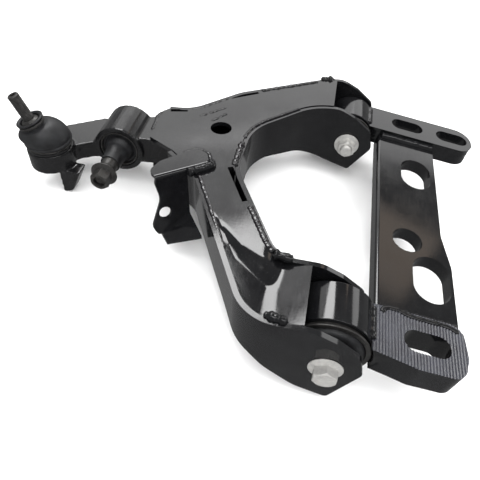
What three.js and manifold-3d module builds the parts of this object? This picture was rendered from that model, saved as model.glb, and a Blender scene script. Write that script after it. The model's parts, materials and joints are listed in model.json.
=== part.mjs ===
// Welded front lower control arm with its frame bracket, two pivot bushings, ball joint and damper mount.
// Millimetres, +Z up. The pivot axis runs along Y. The ball joint is on the -X side, the bracket on +X.
import * as THREE from 'three';
import { mergeVertices } from 'three/addons/utils/BufferGeometryUtils.js';
import { ConvexGeometry } from 'three/addons/geometries/ConvexGeometry.js';
import Module from 'manifold-3d';

const wasm = await Module();
wasm.setup();

// ---- overall sizes
const pivotSpacing = 319;      // between the middles of the two bushings, along the pivot axis
const armReach = 322;          // from the pivot axis to the ball centre, along the arm
const armDroop = 8;            // degrees that the arm hangs down from level
const gap = 0.3;               // clearance between neighbouring pieces
const sheet = 5;               // side plates, top and bottom of the arm

// ---- pivot bushings and their fasteners
const eyeLength = 41;
const eyeWall = 4.2;
const frontEyeRadius = 38.4;
const rearEyeRadius = 30.6;
const sleeveWall = 1.8;        // outer steel sleeve of a bushing
const bushFlange = 3.2;        // how far the outer sleeve's lip stands in front of the eye
const lipInset = 1.6;          // lip radius below the eye's radius
const innerSleeveRadius = 11;
const boltRadius = 7;
const boltClearance = 0.4;
const rubberDish = 5;          // the rubber's end faces sit this far inside the sleeve at the back
const earFrontSpace = 17.5;    // from the eye's end to the front ear
const earRearSpace = 4;        // from the eye's end to the rear ear
const pivotHex = { flats: 20, height: 9, flangeRadius: 15.2, flangeThickness: 3 };
const boltTip = 5;             // thread standing out of the nut

// ---- arm box section (plan sizes in the arm's own level frame)
const deckTop = 48.5;          // top face of the arm above the pivot axis
const floorBottom = 5.3;       // underside of the arm's box above the pivot axis
const deckEnd = 25;            // top plate stops this far outboard of the pivot axis
const floorEnd = 52;
const drainRadius = 12;
const drainInboard = 75.6;     // drain hole from the outboard end of the box
const drainY = 41.6;
const throatDepth = 114;       // pivot axis to the bottom of the gap between the legs
const castingLength = 100;     // from the ball in to the outboard end of the box

// ---- frame bracket
const plateTop = 14;
const plateThickness = 16;
const plateLeft = 36;
const plateWidth = 71;
const footTop = 22;
const rearFootThickness = 22;
const frontFootThickness = 28;
const rearFootLength = 157;    // outer end measured from the pivot axis
const rearFootWidth = 46;
const slotWidth = 21;
const slotLength = 41;
const slotPitch = 59;
const frontFootLength = 117;
const frontFootWidth = 54.7;
const frontSlotWidth = 21.8;
const frontSlotLength = 42.3;

// ---- damper eye on the outer casting
const damperSetback = 67;      // damper eye inboard of the ball
const damperHeight = 27;
const damperY = 25.5;
const damperEyeLength = 49;
const damperEyeRadius = 28;
const damperEyeWall = 6;
const damperPinRadius = 9.3;
const damperPinStickOut = 42;  // pin in front of the eye
const damperPinBack = 4;       // pin behind the eye
const damperThreadRadius = 6;
const damperHex = { flats: 18.5, height: 12, flangeRadius: 14.4, flangeThickness: 3 };

// ---- link bracket: a folded sheet with its top flange on the deck
const linkSheet = 4;
const linkHoleRadius = 6.5;
const linkWebHeight = 49;      // down to the fold of the lower flange, at the arm's side

// ---- ball joint (heights from the ball centre)
const ballY = -24;
const ballHeight = 30;
const ballRadius = 12;
const seatPlay = 0.2;
const seatWall = 2.5;
const mouthAngle = 52;         // degrees from the housing's axis to the rim that keeps the ball in
const studTilt = 17;           // degrees that the stud leans outboard at rest
const studLean = 5;            // degrees that it leans to the front
const housingWall = 4;
const housingRim = 4.8;        // how far the flange stands out of the housing
const housingFlange = 3;
const housingAbove = 1;        // housing above the top of the ball
const housingBelow = 3;
const neckHeight = 40;         // middle of the boot's upper ring
const studNeckRadius = 6.5;
const studCollarRadius = 9.5;
const threadStart = 52;
const studTip = 74;
const threadRadius = 6;
const bootWall = 1.8;
const bootRingWidth = 2;
const ringThickness = 1.6;

// ---- places worked out from the sizes above
const degrees = Math.PI / 180;
const frontPivotY = -pivotSpacing / 2;
const rearPivotY = pivotSpacing / 2;
const earFrontOffset = eyeLength / 2 + earFrontSpace + sheet;  // bushing middle to the front ear's outer face
const earRearOffset = eyeLength / 2 + earRearSpace + sheet;
const ballX = -armReach;
const damperX = ballX + damperSetback;
const boxEnd = ballX + castingLength;
const damperBoreRadius = damperEyeRadius - damperEyeWall;
const housingRadius = ballRadius + seatPlay + seatWall + housingWall;
const housingFlangeRadius = housingRadius + housingRim;
const housingTop = ballRadius + housingAbove;
const housingBottom = -ballRadius - housingBelow;

// ---- finishes
const finishes = {
  glossBlack: { color: 0x0c0c0e, roughness: 0.18, metalness: 0.1 },
  satinBlack: { color: 0x17181a, roughness: 0.38, metalness: 0.15 },
  rubber: { color: 0x141414, roughness: 0.85, metalness: 0 },
  zinc: { color: 0xc9cac6, roughness: 0.32, metalness: 0.95 },
  blackSteel: { color: 0x26272a, roughness: 0.45, metalness: 0.8 },
  bareSteel: { color: 0x8f9194, roughness: 0.35, metalness: 1 },
  acetal: { color: 0xd9d6cc, roughness: 0.5, metalness: 0 },
};

const model = new THREE.Group();
const bracket = new THREE.Group();
const arm = new THREE.Group();
arm.rotation.y = -armDroop * degrees;
model.add(bracket, arm);

function addPiece(group, name, geometry, finish) {
  const mesh = new THREE.Mesh(geometry, new THREE.MeshStandardMaterial(finishes[finish]));
  mesh.name = name;
  group.add(mesh);
  return mesh;
}

// ---- solids: joining and cutting
function solidOf(geometry) {
  const bare = geometry.clone();
  bare.deleteAttribute('normal');
  bare.deleteAttribute('uv');
  const merged = mergeVertices(bare.index ? bare.toNonIndexed() : bare, 1e-4);
  return new wasm.Manifold(new wasm.Mesh({
    numProp: 3,
    vertProperties: new Float32Array(merged.attributes.position.array),
    triVerts: new Uint32Array(merged.index.array),
  }));
}

function geometryOf(solid) {
  const mesh = solid.getMesh();
  const geometry = new THREE.BufferGeometry();
  geometry.setAttribute('position', new THREE.BufferAttribute(mesh.vertProperties, 3));
  geometry.setIndex(new THREE.BufferAttribute(mesh.triVerts, 1));
  geometry.computeVertexNormals();
  return geometry;
}

function cut(base, ...tools) {
  return geometryOf(tools.reduce((solid, tool) => solid.subtract(solidOf(tool)), solidOf(base)));
}

function join(...pieces) {
  return geometryOf(pieces.map(solidOf).reduce((sum, piece) => sum.add(piece)));
}

function common(first, second) {
  return geometryOf(solidOf(first).intersect(solidOf(second)));
}

// ---- outlines (closed outlines run anticlockwise, so that holes cut into them keep their walls)
// A path through corner points [x, y, radius]; a corner with a radius is rounded by an arc.
function roundedPath(corners, closed) {
  const path = closed ? new THREE.Shape() : new THREE.Path();
  const count = corners.length;
  corners.forEach(([x, y, radius = 0], i) => {
    const here = new THREE.Vector2(x, y);
    const before = corners[(i + count - 1) % count];
    const after = corners[(i + 1) % count];
    const isEnd = !closed && (i === 0 || i === count - 1);
    if (isEnd || radius === 0) {
      if (i === 0) path.moveTo(x, y);
      else path.lineTo(x, y);
      return;
    }
    const towardsBefore = new THREE.Vector2(before[0] - x, before[1] - y).normalize();
    const towardsAfter = new THREE.Vector2(after[0] - x, after[1] - y).normalize();
    const halfAngle = Math.acos(THREE.MathUtils.clamp(towardsBefore.dot(towardsAfter), -1, 1)) / 2;
    const reach = radius / Math.tan(halfAngle);
    const start = here.clone().addScaledVector(towardsBefore, reach);
    const bisector = towardsBefore.clone().add(towardsAfter).normalize();
    const centre = here.clone().addScaledVector(bisector, radius / Math.sin(halfAngle));
    const end = here.clone().addScaledVector(towardsAfter, reach);
    const clockwise = towardsBefore.cross(towardsAfter) > 0;
    if (i === 0) path.moveTo(start.x, start.y);
    else path.lineTo(start.x, start.y);
    path.absarc(centre.x, centre.y, radius, Math.atan2(start.y - centre.y, start.x - centre.x),
      Math.atan2(end.y - centre.y, end.x - centre.x), clockwise);
  });
  if (closed) path.closePath();
  return path;
}

function circleHole(x, y, radius) {
  const hole = new THREE.Path();
  hole.absarc(x, y, radius, 0, 2 * Math.PI, true);
  return hole;
}

// An obround hole; the long side runs along X, or along Y when upright is true.
function obroundHole(x, y, length, width, upright = false) {
  const half = (length - width) / 2;
  const r = width / 2;
  const corners = upright
    ? [[x - r, y - half - r], [x + r, y - half - r], [x + r, y + half + r], [x - r, y + half + r]]
    : [[x - half - r, y - r], [x + half + r, y - r], [x + half + r, y + r], [x - half - r, y + r]];
  return roundedPath(corners.map((corner) => [...corner, r]), true);
}

// ---- basic solids
// A flat outline given in plan, filled from one height to another.
function slab(shape, low, high, curveSegments = 9) {
  const settings = { depth: high - low, bevelEnabled: false, curveSegments };
  return new THREE.ExtrudeGeometry(shape, settings).translate(0, 0, low);
}

// A flat outline given in elevation (x, z), filled from one y to another.
function wall(shape, yLow, yHigh, curveSegments = 5) {
  const settings = { depth: yHigh - yLow, bevelEnabled: false, curveSegments };
  return new THREE.ExtrudeGeometry(shape, settings).rotateX(Math.PI / 2).translate(0, yHigh, 0);
}

// A closed profile of [radius, y] points turned about the Y axis.
function turned(profile, segments = 32) {
  const points = profile.map(([r, y]) => new THREE.Vector2(r, y));
  if (profile[0][0] > 0) points.push(points[0].clone());
  const area = points.reduce((sum, p, i) => sum + p.cross(points[(i + 1) % points.length]), 0);
  if (area < 0) points.reverse();
  return new THREE.LatheGeometry(points, segments);
}

function tube(outer, inner, yLow, yHigh, segments = 24) {
  return turned([[inner, yLow], [outer, yLow], [outer, yHigh], [inner, yHigh]], segments);
}

function rod(radius, yLow, yHigh, segments = 24) {
  return turned([[0, yLow], [radius, yLow], [radius, yHigh], [0, yHigh]], segments);
}

function hexPrism(flats, yLow, yHigh) {
  return rod(flats / Math.sqrt(3), yLow, yHigh, 6);
}

// Turn a piece made about Y so that its axis is Z.
function upright(geometry) {
  return geometry.rotateX(Math.PI / 2);
}

// ---- fasteners, made along Y with the seat at y = 0 and the head on the +Y side
function flangeHead({ flats, height, flangeRadius, flangeThickness }) {
  const flange = turned([[0, gap], [flangeRadius, gap], [flangeRadius, gap + 1],
    [flats / 2 + 1, gap + flangeThickness], [0, gap + flangeThickness]], 28);
  const top = gap + flangeThickness + height;
  const corner = flats / Math.sqrt(3);
  const chamfer = turned([[0, 0], [corner + 1, 0], [corner + 1, top - 2.2], [flats / 2 - 0.4, top],
    [0, top]], 24);
  return join(flange, common(hexPrism(flats, gap, top), chamfer));
}

function flangeNut(hex, holeRadius) {
  const top = gap + hex.flangeThickness + hex.height;
  return cut(flangeHead(hex), rod(holeRadius, -1, top + 1, 20));
}

function flangeBolt(grip) {
  const length = grip + pivotHex.flangeThickness + pivotHex.height + boltTip;
  const shank = turned([[0, -length], [boltRadius - 1.2, -length], [boltRadius, -length + 1.5],
    [boltRadius, gap + 1], [0, gap + 1]], 20);
  return join(flangeHead(pivotHex), shank);
}

// ---- one pivot bushing with its eye, seen along the pivot axis
function makeBushing(prefix, middleY, eyeRadius) {
  const half = eyeLength / 2;
  const sleeveOuter = eyeRadius - eyeWall - gap;
  const sleeveInner = sleeveOuter - sleeveWall;
  const front = -earFrontOffset + sheet + gap;
  const rear = earRearOffset - sheet - gap;
  const lipRadius = eyeRadius - lipInset;
  const lip = -half - bushFlange;

  const eye = tube(eyeRadius, eyeRadius - eyeWall, -half, half, 36);
  const lipFront = lip - sleeveWall;
  const outerSleeve = turned([[sleeveInner, half - 1], [sleeveInner, lipFront], [lipRadius, lipFront],
    [lipRadius, lip], [sleeveOuter, lip], [sleeveOuter, half - 1]], 36);
  const rubberOuter = sleeveInner - gap;
  const rubber = turned([[innerSleeveRadius + gap, half - 1], [rubberOuter * 0.6, half - rubberDish],
    [rubberOuter, half - 2], [rubberOuter, lipFront - gap], [rubberOuter - 1, lip - 7],
    [rubberOuter * 0.72, lip - 10], [innerSleeveRadius + gap, lip - 10]], 32);
  const innerSleeve = tube(innerSleeveRadius, boltRadius + boltClearance, front, rear);

  addPiece(bracket, `${prefix}_eye`, eye, 'glossBlack').position.y = middleY;
  addPiece(bracket, `${prefix}_bushing_outer_sleeve`, outerSleeve, 'blackSteel').position.y = middleY;
  addPiece(bracket, `${prefix}_bushing_rubber`, rubber, 'rubber').position.y = middleY;
  addPiece(arm, `${prefix}_bushing_inner_sleeve`, innerSleeve, 'bareSteel').position.y = middleY;
}

// A pivot bolt whose head sits at the front (-Y) or the back ear, with its nut on the other ear.
function makePivotBolt(prefix, middleY, headAtFront) {
  const grip = earFrontOffset + earRearOffset;
  const bolt = addPiece(arm, `${prefix}_pivot_bolt`, flangeBolt(grip), 'zinc');
  const nut = addPiece(arm, `${prefix}_pivot_nut`, flangeNut(pivotHex, boltRadius + boltClearance), 'zinc');
  const frontSeat = middleY - earFrontOffset;
  const rearSeat = middleY + earRearOffset;
  bolt.position.y = headAtFront ? frontSeat : rearSeat;
  nut.position.y = headAtFront ? rearSeat : frontSeat;
  if (headAtFront) bolt.rotation.z = Math.PI;
  else nut.rotation.z = Math.PI;
}

// ---- frame bracket: plate, rear foot and front foot
function makeBracket() {
  const plateRight = plateLeft + plateWidth;
  const rearFootFront = rearPivotY - rearFootWidth / 2;
  const rearFootBack = rearPivotY + rearFootWidth / 2 - 0.5;
  const frontFootBack = frontPivotY + eyeLength / 2;
  const frontFootFront = frontFootBack - frontFootWidth;
  const plateFront = frontFootBack + gap;
  const plateBack = rearFootFront - gap;
  const shoulder = 8;            // the plate is this much wider beside the long hole

  const plate = roundedPath([
    [plateLeft, plateFront, 0], [plateRight + shoulder, plateFront, 0],
    [plateRight + shoulder, plateFront + 76, 30], [plateRight, plateFront + 118, 30],
    [plateRight, plateBack, 0], [plateLeft, plateBack, 0],
  ], true);
  plate.holes.push(
    obroundHole(plateLeft + plateWidth * 0.66, plateBack - 61.5, 52, 35.6, true),
    circleHole(plateLeft + plateWidth * 0.473, plateFront + 99.5, 16.2),
    obroundHole(plateLeft + 57, plateFront + 54, 58, 38, true));
  addPiece(bracket, 'bracket_plate', slab(plate, plateTop - plateThickness, plateTop), 'glossBlack');

  const rearFoot = roundedPath([
    [rearEyeRadius / 2, rearFootFront, 0], [rearFootLength, rearFootFront, 20],
    [rearFootLength, rearFootBack, 22], [rearEyeRadius / 2, rearFootBack, 0],
  ], true);
  const rearSlots = rearFootLength - slotLength / 2 - 6;
  rearFoot.holes.push(
    obroundHole(rearSlots, rearPivotY, slotLength, slotWidth),
    obroundHole(rearSlots - slotPitch, rearPivotY, slotLength, slotWidth));
  const rearEyeSpace = rod(rearEyeRadius + gap, rearFootFront - 1, rearFootBack + 1, 36);
  addPiece(bracket, 'rear_foot',
    cut(slab(rearFoot, footTop - rearFootThickness, footTop), rearEyeSpace), 'glossBlack');

  const frontFoot = roundedPath([
    [frontEyeRadius / 2, frontFootFront + 9, 0], [56, frontFootFront + 3, 20], [72, frontFootFront, 20],
    [frontFootLength - 5, frontFootFront + 1, 14], [frontFootLength, frontFootFront + 22, 20],
    [frontFootLength - 2, frontFootBack, 14], [frontEyeRadius / 2, frontFootBack, 0],
  ], true);
  const slotY = (frontFootFront + frontFootBack) / 2;
  frontFoot.holes.push(obroundHole(frontFootLength - 36, slotY, frontSlotLength, frontSlotWidth));
  const frontEyeSpace = rod(frontEyeRadius + gap, frontFootFront - 1, frontFootBack + 1, 36);
  addPiece(bracket, 'front_foot',
    cut(slab(frontFoot, footTop - frontFootThickness, footTop), frontEyeSpace), 'glossBlack');
}

// ---- arm box: plan paths of the side plates' outer faces, as corners [x, y, radius]
const frontEarY = frontPivotY - earFrontOffset;
const throatFrontY = frontPivotY + earRearOffset;
const throatRearY = rearPivotY - earFrontOffset;
const rearEarY = rearPivotY + earRearOffset;
const earReach = 34;           // plan length of the ears past the pivot axis

const frontSidePath = [[earReach, frontEarY], [-74, frontEarY, 45], [boxEnd + 67, -44, 30],
  [boxEnd + 30, -14]];
const throatPath = [[earReach, throatFrontY], [-frontEyeRadius - 17.6, throatFrontY, 30],
  [-throatDepth, -22, 60], [2 - throatDepth, 50, 60], [-46, throatRearY, 60], [earReach, throatRearY]];
const rearEarBend = 16.9;      // half the plan length of the bend from the rear ear into the leg
const rearEarCorner = -rearEyeRadius - 1.4;
const rearEarTurn = Math.atan2(rearEarY - 123, rearEarCorner - boxEnd - 82);
const rearSidePath = [[boxEnd + 8, 70], [boxEnd + 34, 73, 40], [boxEnd + 82, 123, 60],
  [rearEarCorner, rearEarY, rearEarBend / Math.tan(rearEarTurn / 2)], [earReach, rearEarY]];

function samplePath(corners, divisions = 5) {
  const path = roundedPath(corners, false);
  return path.getPoints(divisions).filter((p, i, all) => i === 0 || p.distanceTo(all[i - 1]) > 0.01);
}

// The same path moved sideways; a positive distance is to the left of its direction.
function offsetPoints(points, distance) {
  return points.map((p, i) => {
    const back = points[Math.max(i - 1, 0)];
    const ahead = points[Math.min(i + 1, points.length - 1)];
    const into = p.clone().sub(back).normalize();
    const out = ahead.clone().sub(p).normalize();
    const along = into.clone().add(out).normalize();
    const stretch = distance / Math.max(Math.cos(along.angleTo(out.lengthSq() > 0 ? out : into)), 0.5);
    return new THREE.Vector2(p.x - along.y * stretch, p.y + along.x * stretch);
  });
}

// A sheet standing on edge along a plan path, between two distances to the left of the path.
function standingSheet(corners, near, far, low, high) {
  const face = offsetPoints(samplePath(corners), near);
  const back = offsetPoints(samplePath(corners), far);
  return slab(new THREE.Shape([...face, ...back.reverse()]), low, high);
}

// The elevation shared by the side plates: box section outboard, a drooping ear at the pivot.
function earOutline(tip) {
  return roundedPath([
    [boxEnd - 38, floorBottom - sheet - 1, 0], [-96, floorBottom - sheet - 1, 0], [-66, -8, 30],
    [-24, tip + 10, 40],
    [8, tip, 4], [31, -1, 10], [25, 22, 10], [4, 38, 20], [-16, deckTop - 1, 30],
    [-40, deckTop - 1, 0], [boxEnd - 38, deckTop - 1, 0],
  ], true);
}

function makeSidePlate(name, corners, thickness, tip, boltYs) {
  const sheetSolid = standingSheet(corners, 0, thickness, -70, 70);
  const ears = common(sheetSolid, wall(earOutline(tip), -400, 400));
  const holes = boltYs.map((y) => rod(boltRadius + boltClearance, y - 40, y + 40, 24));
  addPiece(arm, name, cut(ears, ...holes), 'glossBlack');
}

// The deck or floor of the box: everything between the three side plates.
function boxPlan() {
  const inset = sheet + gap;
  const front = offsetPoints(samplePath(frontSidePath), -inset);
  const rear = offsetPoints(samplePath(rearSidePath), -inset);
  const throat = offsetPoints(samplePath(throatPath), inset);
  const trunk = [[boxEnd + 4, 6], [boxEnd, 46], [boxEnd + 3, 58]].map(([x, y]) => new THREE.Vector2(x, y));
  const anticlockwise = [...front, ...trunk, ...rear, ...throat.reverse()].reverse();
  const plan = new THREE.Shape(anticlockwise);
  plan.holes.push(circleHole(boxEnd + drainInboard, drainY, drainRadius));
  return plan;
}

function outboardOf(x) {
  const size = 2 * (armReach + pivotSpacing);
  return new THREE.BoxGeometry(size, size, size).translate(x - size / 2, 0, 0);
}

function makeArmBox() {
  makeSidePlate('arm_front_side_plate', frontSidePath, -sheet, -50, [frontPivotY - earFrontOffset]);
  makeSidePlate('arm_inner_side_plate', throatPath, sheet, -38, [throatFrontY, throatRearY]);
  makeSidePlate('arm_rear_side_plate', rearSidePath, -sheet, -38, [rearEarY]);

  addPiece(arm, 'arm_top_plate',
    common(slab(boxPlan(), deckTop - sheet, deckTop), outboardOf(-deckEnd)), 'glossBlack');
  addPiece(arm, 'arm_bottom_plate',
    common(slab(boxPlan(), floorBottom, floorBottom + sheet), outboardOf(-floorEnd)), 'glossBlack');
}

// ---- outer casting: neck, damper eye, web, ball joint socket and steering stop
const ballCentre = new THREE.Vector3(ballX, ballY, ballHeight);

function makeCasting() {
  const eyeFront = damperY - damperEyeLength / 2;
  const eyeRear = damperY + damperEyeLength / 2;
  const insideLow = floorBottom + sheet + gap;
  const insideHigh = deckTop - sheet - gap;

  const neckPlan = roundedPath([[damperX + 8, eyeFront + 3, 0], [boxEnd + 4, eyeFront + 6, 0],
    [boxEnd + 30, 4, 0], [boxEnd + 36, 12, 6], [boxEnd + 32, 56, 10], [boxEnd + 6, 58, 0],
    [damperX + 19, eyeRear - 2, 10], [damperX + 8, eyeRear - 3, 0]], true);
  const neck = slab(neckPlan, insideLow, insideHigh, 6);
  const eye = tube(damperEyeRadius, damperBoreRadius, eyeFront, eyeRear).translate(damperX, 0, damperHeight);

  const webPlan = roundedPath([[damperX - 10, eyeFront + 1, 0], [ballX + 38, -2, 8], [ballX + 22, -12, 8],
    [ballX + 16, ballY - 14, 0], [ballX - 14, ballY + 14, 0], [ballX - 6, 20, 10], [ballX + 34, 47, 12],
    [damperX - 10, eyeRear - 1, 0]], true);
  const web = slab(webPlan, damperHeight - 13, damperHeight + 7, 6);

  const socketHigh = ballHeight + housingTop - housingFlange - gap;
  const socketLow = ballHeight + housingBottom + 3;
  const socket = upright(rod(housingFlangeRadius + 1, socketLow, socketHigh, 36));
  socket.translate(ballCentre.x, ballCentre.y, 0);

  const stopShape = roundedPath([[ballX - 4, 18, 0], [ballX + 2, -4, 6], [ballX + 13, -13, 5],
    [ballX + 23, -9, 5], [ballX + 36, 18, 0]], true);
  const stop = wall(stopShape, ballY - 15, ballY + 3, 6);

  const boreOfEye = rod(damperBoreRadius, eyeFront - 20, eyeRear + 20, 48);
  boreOfEye.translate(damperX, 0, damperHeight);
  const boreOfSocket = upright(rod(housingRadius + gap, -60, 60, 48));
  boreOfSocket.translate(ballCentre.x, ballCentre.y, 0);
  const whole = join(neck, eye, web, socket, stop);
  addPiece(arm, 'outer_casting', cut(whole, boreOfEye, boreOfSocket), 'satinBlack');
}

// ---- ball joint, made about Z with the ball centre at the origin
function arcPoints(radius, fromDegrees, toDegrees, count) {
  return Array.from({ length: count + 1 }, (_, i) => {
    const angle = (fromDegrees + (toDegrees - fromDegrees) * i / count) * degrees;
    return [radius * Math.sin(angle), radius * Math.cos(angle)];
  });
}

const studDirection = new THREE.Vector3(-Math.tan(studTilt * degrees), -Math.tan(studLean * degrees), 1);
studDirection.normalize();
const studTurn = new THREE.Quaternion().setFromUnitVectors(new THREE.Vector3(0, 0, 1), studDirection);

function housingProfile() {
  const cavity = ballRadius + seatPlay + seatWall + gap;
  return [[cavity, housingBottom], ...arcPoints(cavity, 90, mouthAngle, 5), [16, housingTop],
    [housingFlangeRadius, housingTop], [housingFlangeRadius, housingTop - housingFlange],
    [housingRadius, housingTop - housingFlange], [housingRadius, housingBottom]];
}

function studProfile() {
  const neckAngle = Math.asin(studNeckRadius / ballRadius) / degrees;
  return [...arcPoints(ballRadius, 180, neckAngle, 9), [studNeckRadius, 18], [studCollarRadius - 0.5, 30],
    [studCollarRadius, neckHeight - 4], [studCollarRadius, neckHeight + 4],
    [threadRadius + 1.2, threadStart], [threadRadius, threadStart + 1], [threadRadius, studTip - 1],
    [threadRadius - 1, studTip], [0, studTip]];
}

function bootProfile() {
  const seat = housingTop + gap;
  const neck = studCollarRadius + gap;
  const belly = housingFlangeRadius + 1;
  const outside = [[belly - 2.2, seat], [belly - 2.2, seat + 2.6], [belly, seat + 3.4], [belly, seat + 6],
    [belly - 2, seat + 11], [belly - 5.6, seat + 17], [neck + 4.2, neckHeight - 5],
    [neck + bootWall, neckHeight - 3], [neck + bootWall, neckHeight + 3]];
  const inside = [[neck, neckHeight + 3], [neck, neckHeight - 3.5], [neck + 2.6, neckHeight - 6.4],
    [belly - 7.3, seat + 15.5], [belly - 3.9, seat + 10], [belly - 2.1, seat + 5.8], [belly - 4, seat + 2.2],
    [belly - 8, seat + 1.7], [belly - 8, seat]];
  return [...outside, ...inside];
}

// Lean the boot over with the stud: nothing at its base, the stud's whole tilt at its neck.
function leanWithStud(geometry) {
  const position = geometry.attributes.position;
  const point = new THREE.Vector3();
  const level = new THREE.Quaternion();
  for (let i = 0; i < position.count; i++) {
    point.fromBufferAttribute(position, i);
    const share = THREE.MathUtils.smoothstep(point.z, housingTop + 2, neckHeight - 4);
    point.applyQuaternion(level.clone().slerp(studTurn, share));
    position.setXYZ(i, point.x, point.y, point.z);
  }
  return geometry;
}

function makeBallJoint() {
  const joint = new THREE.Group();
  joint.position.copy(ballCentre);
  arm.add(joint);
  const leaning = new THREE.Group();
  leaning.quaternion.copy(studTurn);
  joint.add(leaning);

  const seatOuter = ballRadius + seatPlay + seatWall;
  const seatProfile = [...arcPoints(seatOuter, 74, 118, 5), ...arcPoints(ballRadius + seatPlay, 118, 74, 5)];
  const capTop = -ballRadius - gap;
  const capProfile = [[0, capTop], [seatOuter, capTop], [seatOuter, capTop - 2.4], [11, capTop - 2.8],
    [10, housingBottom - 2], [0, housingBottom - 2]];
  const ringSeat = housingTop + 2 * gap;
  const ringAt = (inner, low, high) => [[inner, low], [inner + ringThickness, low],
    [inner + ringThickness, high], [inner, high]];
  const lowerRing = ringAt(housingFlangeRadius - 0.9, ringSeat, ringSeat + bootRingWidth);
  const ringInner = studCollarRadius + gap + bootWall + gap;
  const upperRing = ringAt(ringInner, neckHeight - bootRingWidth, neckHeight + bootRingWidth);
  const socketHex = upright(hexPrism(5, studTip - 4, studTip + 4));

  addPiece(joint, 'ball_joint_housing', upright(turned(housingProfile(), 28)), 'satinBlack');
  addPiece(joint, 'ball_joint_cap', upright(turned(capProfile, 28)), 'blackSteel');
  addPiece(joint, 'boot_lower_ring', upright(turned(lowerRing, 28)), 'blackSteel');
  addPiece(joint, 'dust_boot', leanWithStud(upright(turned(bootProfile(), 24))), 'rubber');
  addPiece(leaning, 'ball_seat', upright(turned(seatProfile, 20)), 'acetal');
  addPiece(leaning, 'boot_upper_ring', upright(turned(upperRing, 24)), 'blackSteel');
  addPiece(leaning, 'ball_stud', cut(upright(turned(studProfile(), 20)), socketHex), 'blackSteel');
}

// ---- damper mount: bonded bushing, pin and nut in the casting's eye
function makeDamperMount() {
  const mount = new THREE.Group();
  mount.position.set(damperX, damperY, damperHeight);
  arm.add(mount);
  const half = damperEyeLength / 2;
  const sleeveOuter = damperBoreRadius - gap;
  const sleeveInner = sleeveOuter - sleeveWall;
  const pinFront = -half - damperPinStickOut;
  const rubberOuter = sleeveInner - gap;
  const rubber = [[damperPinRadius + gap, half - 2], [rubberOuter, half - 6], [rubberOuter, 6 - half],
    [damperPinRadius + 4, 2 - half], [damperPinRadius + gap, -half - 6]];
  const threadEnd = pinFront - damperHex.flangeThickness - damperHex.height + 3;
  const pin = [[0, half + damperPinBack], [damperPinRadius, half + damperPinBack],
    [damperPinRadius, pinFront], [damperThreadRadius, pinFront], [damperThreadRadius, threadEnd + 1],
    [damperThreadRadius - 1, threadEnd], [0, threadEnd]];

  const sleeve = tube(sleeveOuter, sleeveInner, 1 - half, half - 1, 40);
  addPiece(mount, 'damper_bushing_sleeve', sleeve, 'blackSteel');
  addPiece(mount, 'damper_bushing_rubber', turned(rubber, 32), 'rubber');
  addPiece(mount, 'damper_pin', turned(pin, 28), 'blackSteel');
  const nutGeometry = flangeNut(damperHex, damperThreadRadius + boltClearance);
  const nut = addPiece(mount, 'damper_nut', nutGeometry, 'blackSteel');
  nut.position.y = pinFront;
  nut.rotation.z = Math.PI;
}

// ---- link bracket: web below the fold line, top flange on the deck, lower flange against the arm's side
function makeLinkBracket() {
  const foldStart = new THREE.Vector3(boxEnd + 33, -62, deckTop + gap + linkSheet);
  const along = new THREE.Vector3(0.8, 0.6, 0);
  const down = new THREE.Vector3(0.178, -0.238, -0.955).normalize();
  const forward = new THREE.Vector3().crossVectors(along, down).negate().normalize();
  const placeWeb = new THREE.Matrix4().makeBasis(along, down.clone().negate(), forward);
  placeWeb.setPosition(foldStart);
  const onWeb = (a, d, out) => foldStart.clone().addScaledVector(along, a).addScaledVector(down, d)
    .addScaledVector(forward, out);

  const lowFold = linkWebHeight + 16;
  const webShape = roundedPath([[0, 0, 0], [-2, -8, 6], [1, -26, 16], [-13, -54, 10], [-7.5, -lowFold, 4],
    [29, -linkWebHeight, 0], [33, 0, 0]], true);
  webShape.holes.push(circleHole(3, -41, linkHoleRadius));
  const web = slab(webShape, -linkSheet, 0, 8).applyMatrix4(placeWeb);

  const flangePlan = roundedPath([[0, 0, 0], [46, 34.5, 0], [40, 50, 8], [26, 56, 10], [-4, 25, 8],
    [-10, 8, 8]], true);
  const topFlange = slab(flangePlan, -linkSheet, 0, 6).translate(foldStart.x, foldStart.y, foldStart.z);

  const lowerFlangeTop = [onWeb(-5, lowFold - 4, -linkSheet), onWeb(29, linkWebHeight - 2, -linkSheet),
    onWeb(27, linkWebHeight + 10, 36), onWeb(-3, lowFold + 5, 9)];
  const lowerFlange = new ConvexGeometry(lowerFlangeTop.flatMap((p) => [p, p.clone().setZ(p.z - linkSheet)]));
  const sidePlateSpace = standingSheet(frontSidePath, gap, -sheet, -70, deckTop);
  addPiece(arm, 'link_bracket', cut(join(web, topFlange, lowerFlange), sidePlateSpace), 'glossBlack');
}

makeBushing('front', frontPivotY, frontEyeRadius);
makeBushing('rear', rearPivotY, rearEyeRadius);
makePivotBolt('front', frontPivotY, true);
makePivotBolt('rear', rearPivotY, false);
makeBracket();
makeArmBox();
makeCasting();
makeBallJoint();
makeDamperMount();
makeLinkBracket();

// The origin is the middle of the model's box, at its lowest height.
const box = new THREE.Box3().setFromObject(model, true);
model.position.set(-(box.min.x + box.max.x) / 2, -(box.min.y + box.max.y) / 2, -box.min.z);

export default model;
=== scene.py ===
"""Welded front lower control arm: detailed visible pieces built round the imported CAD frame."""
import json
import logging
import math
from dataclasses import dataclass
from enum import Enum
from typing import Callable, Sequence

import bmesh
import bpy
from mathutils import Matrix, Quaternion, Vector, noise


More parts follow.
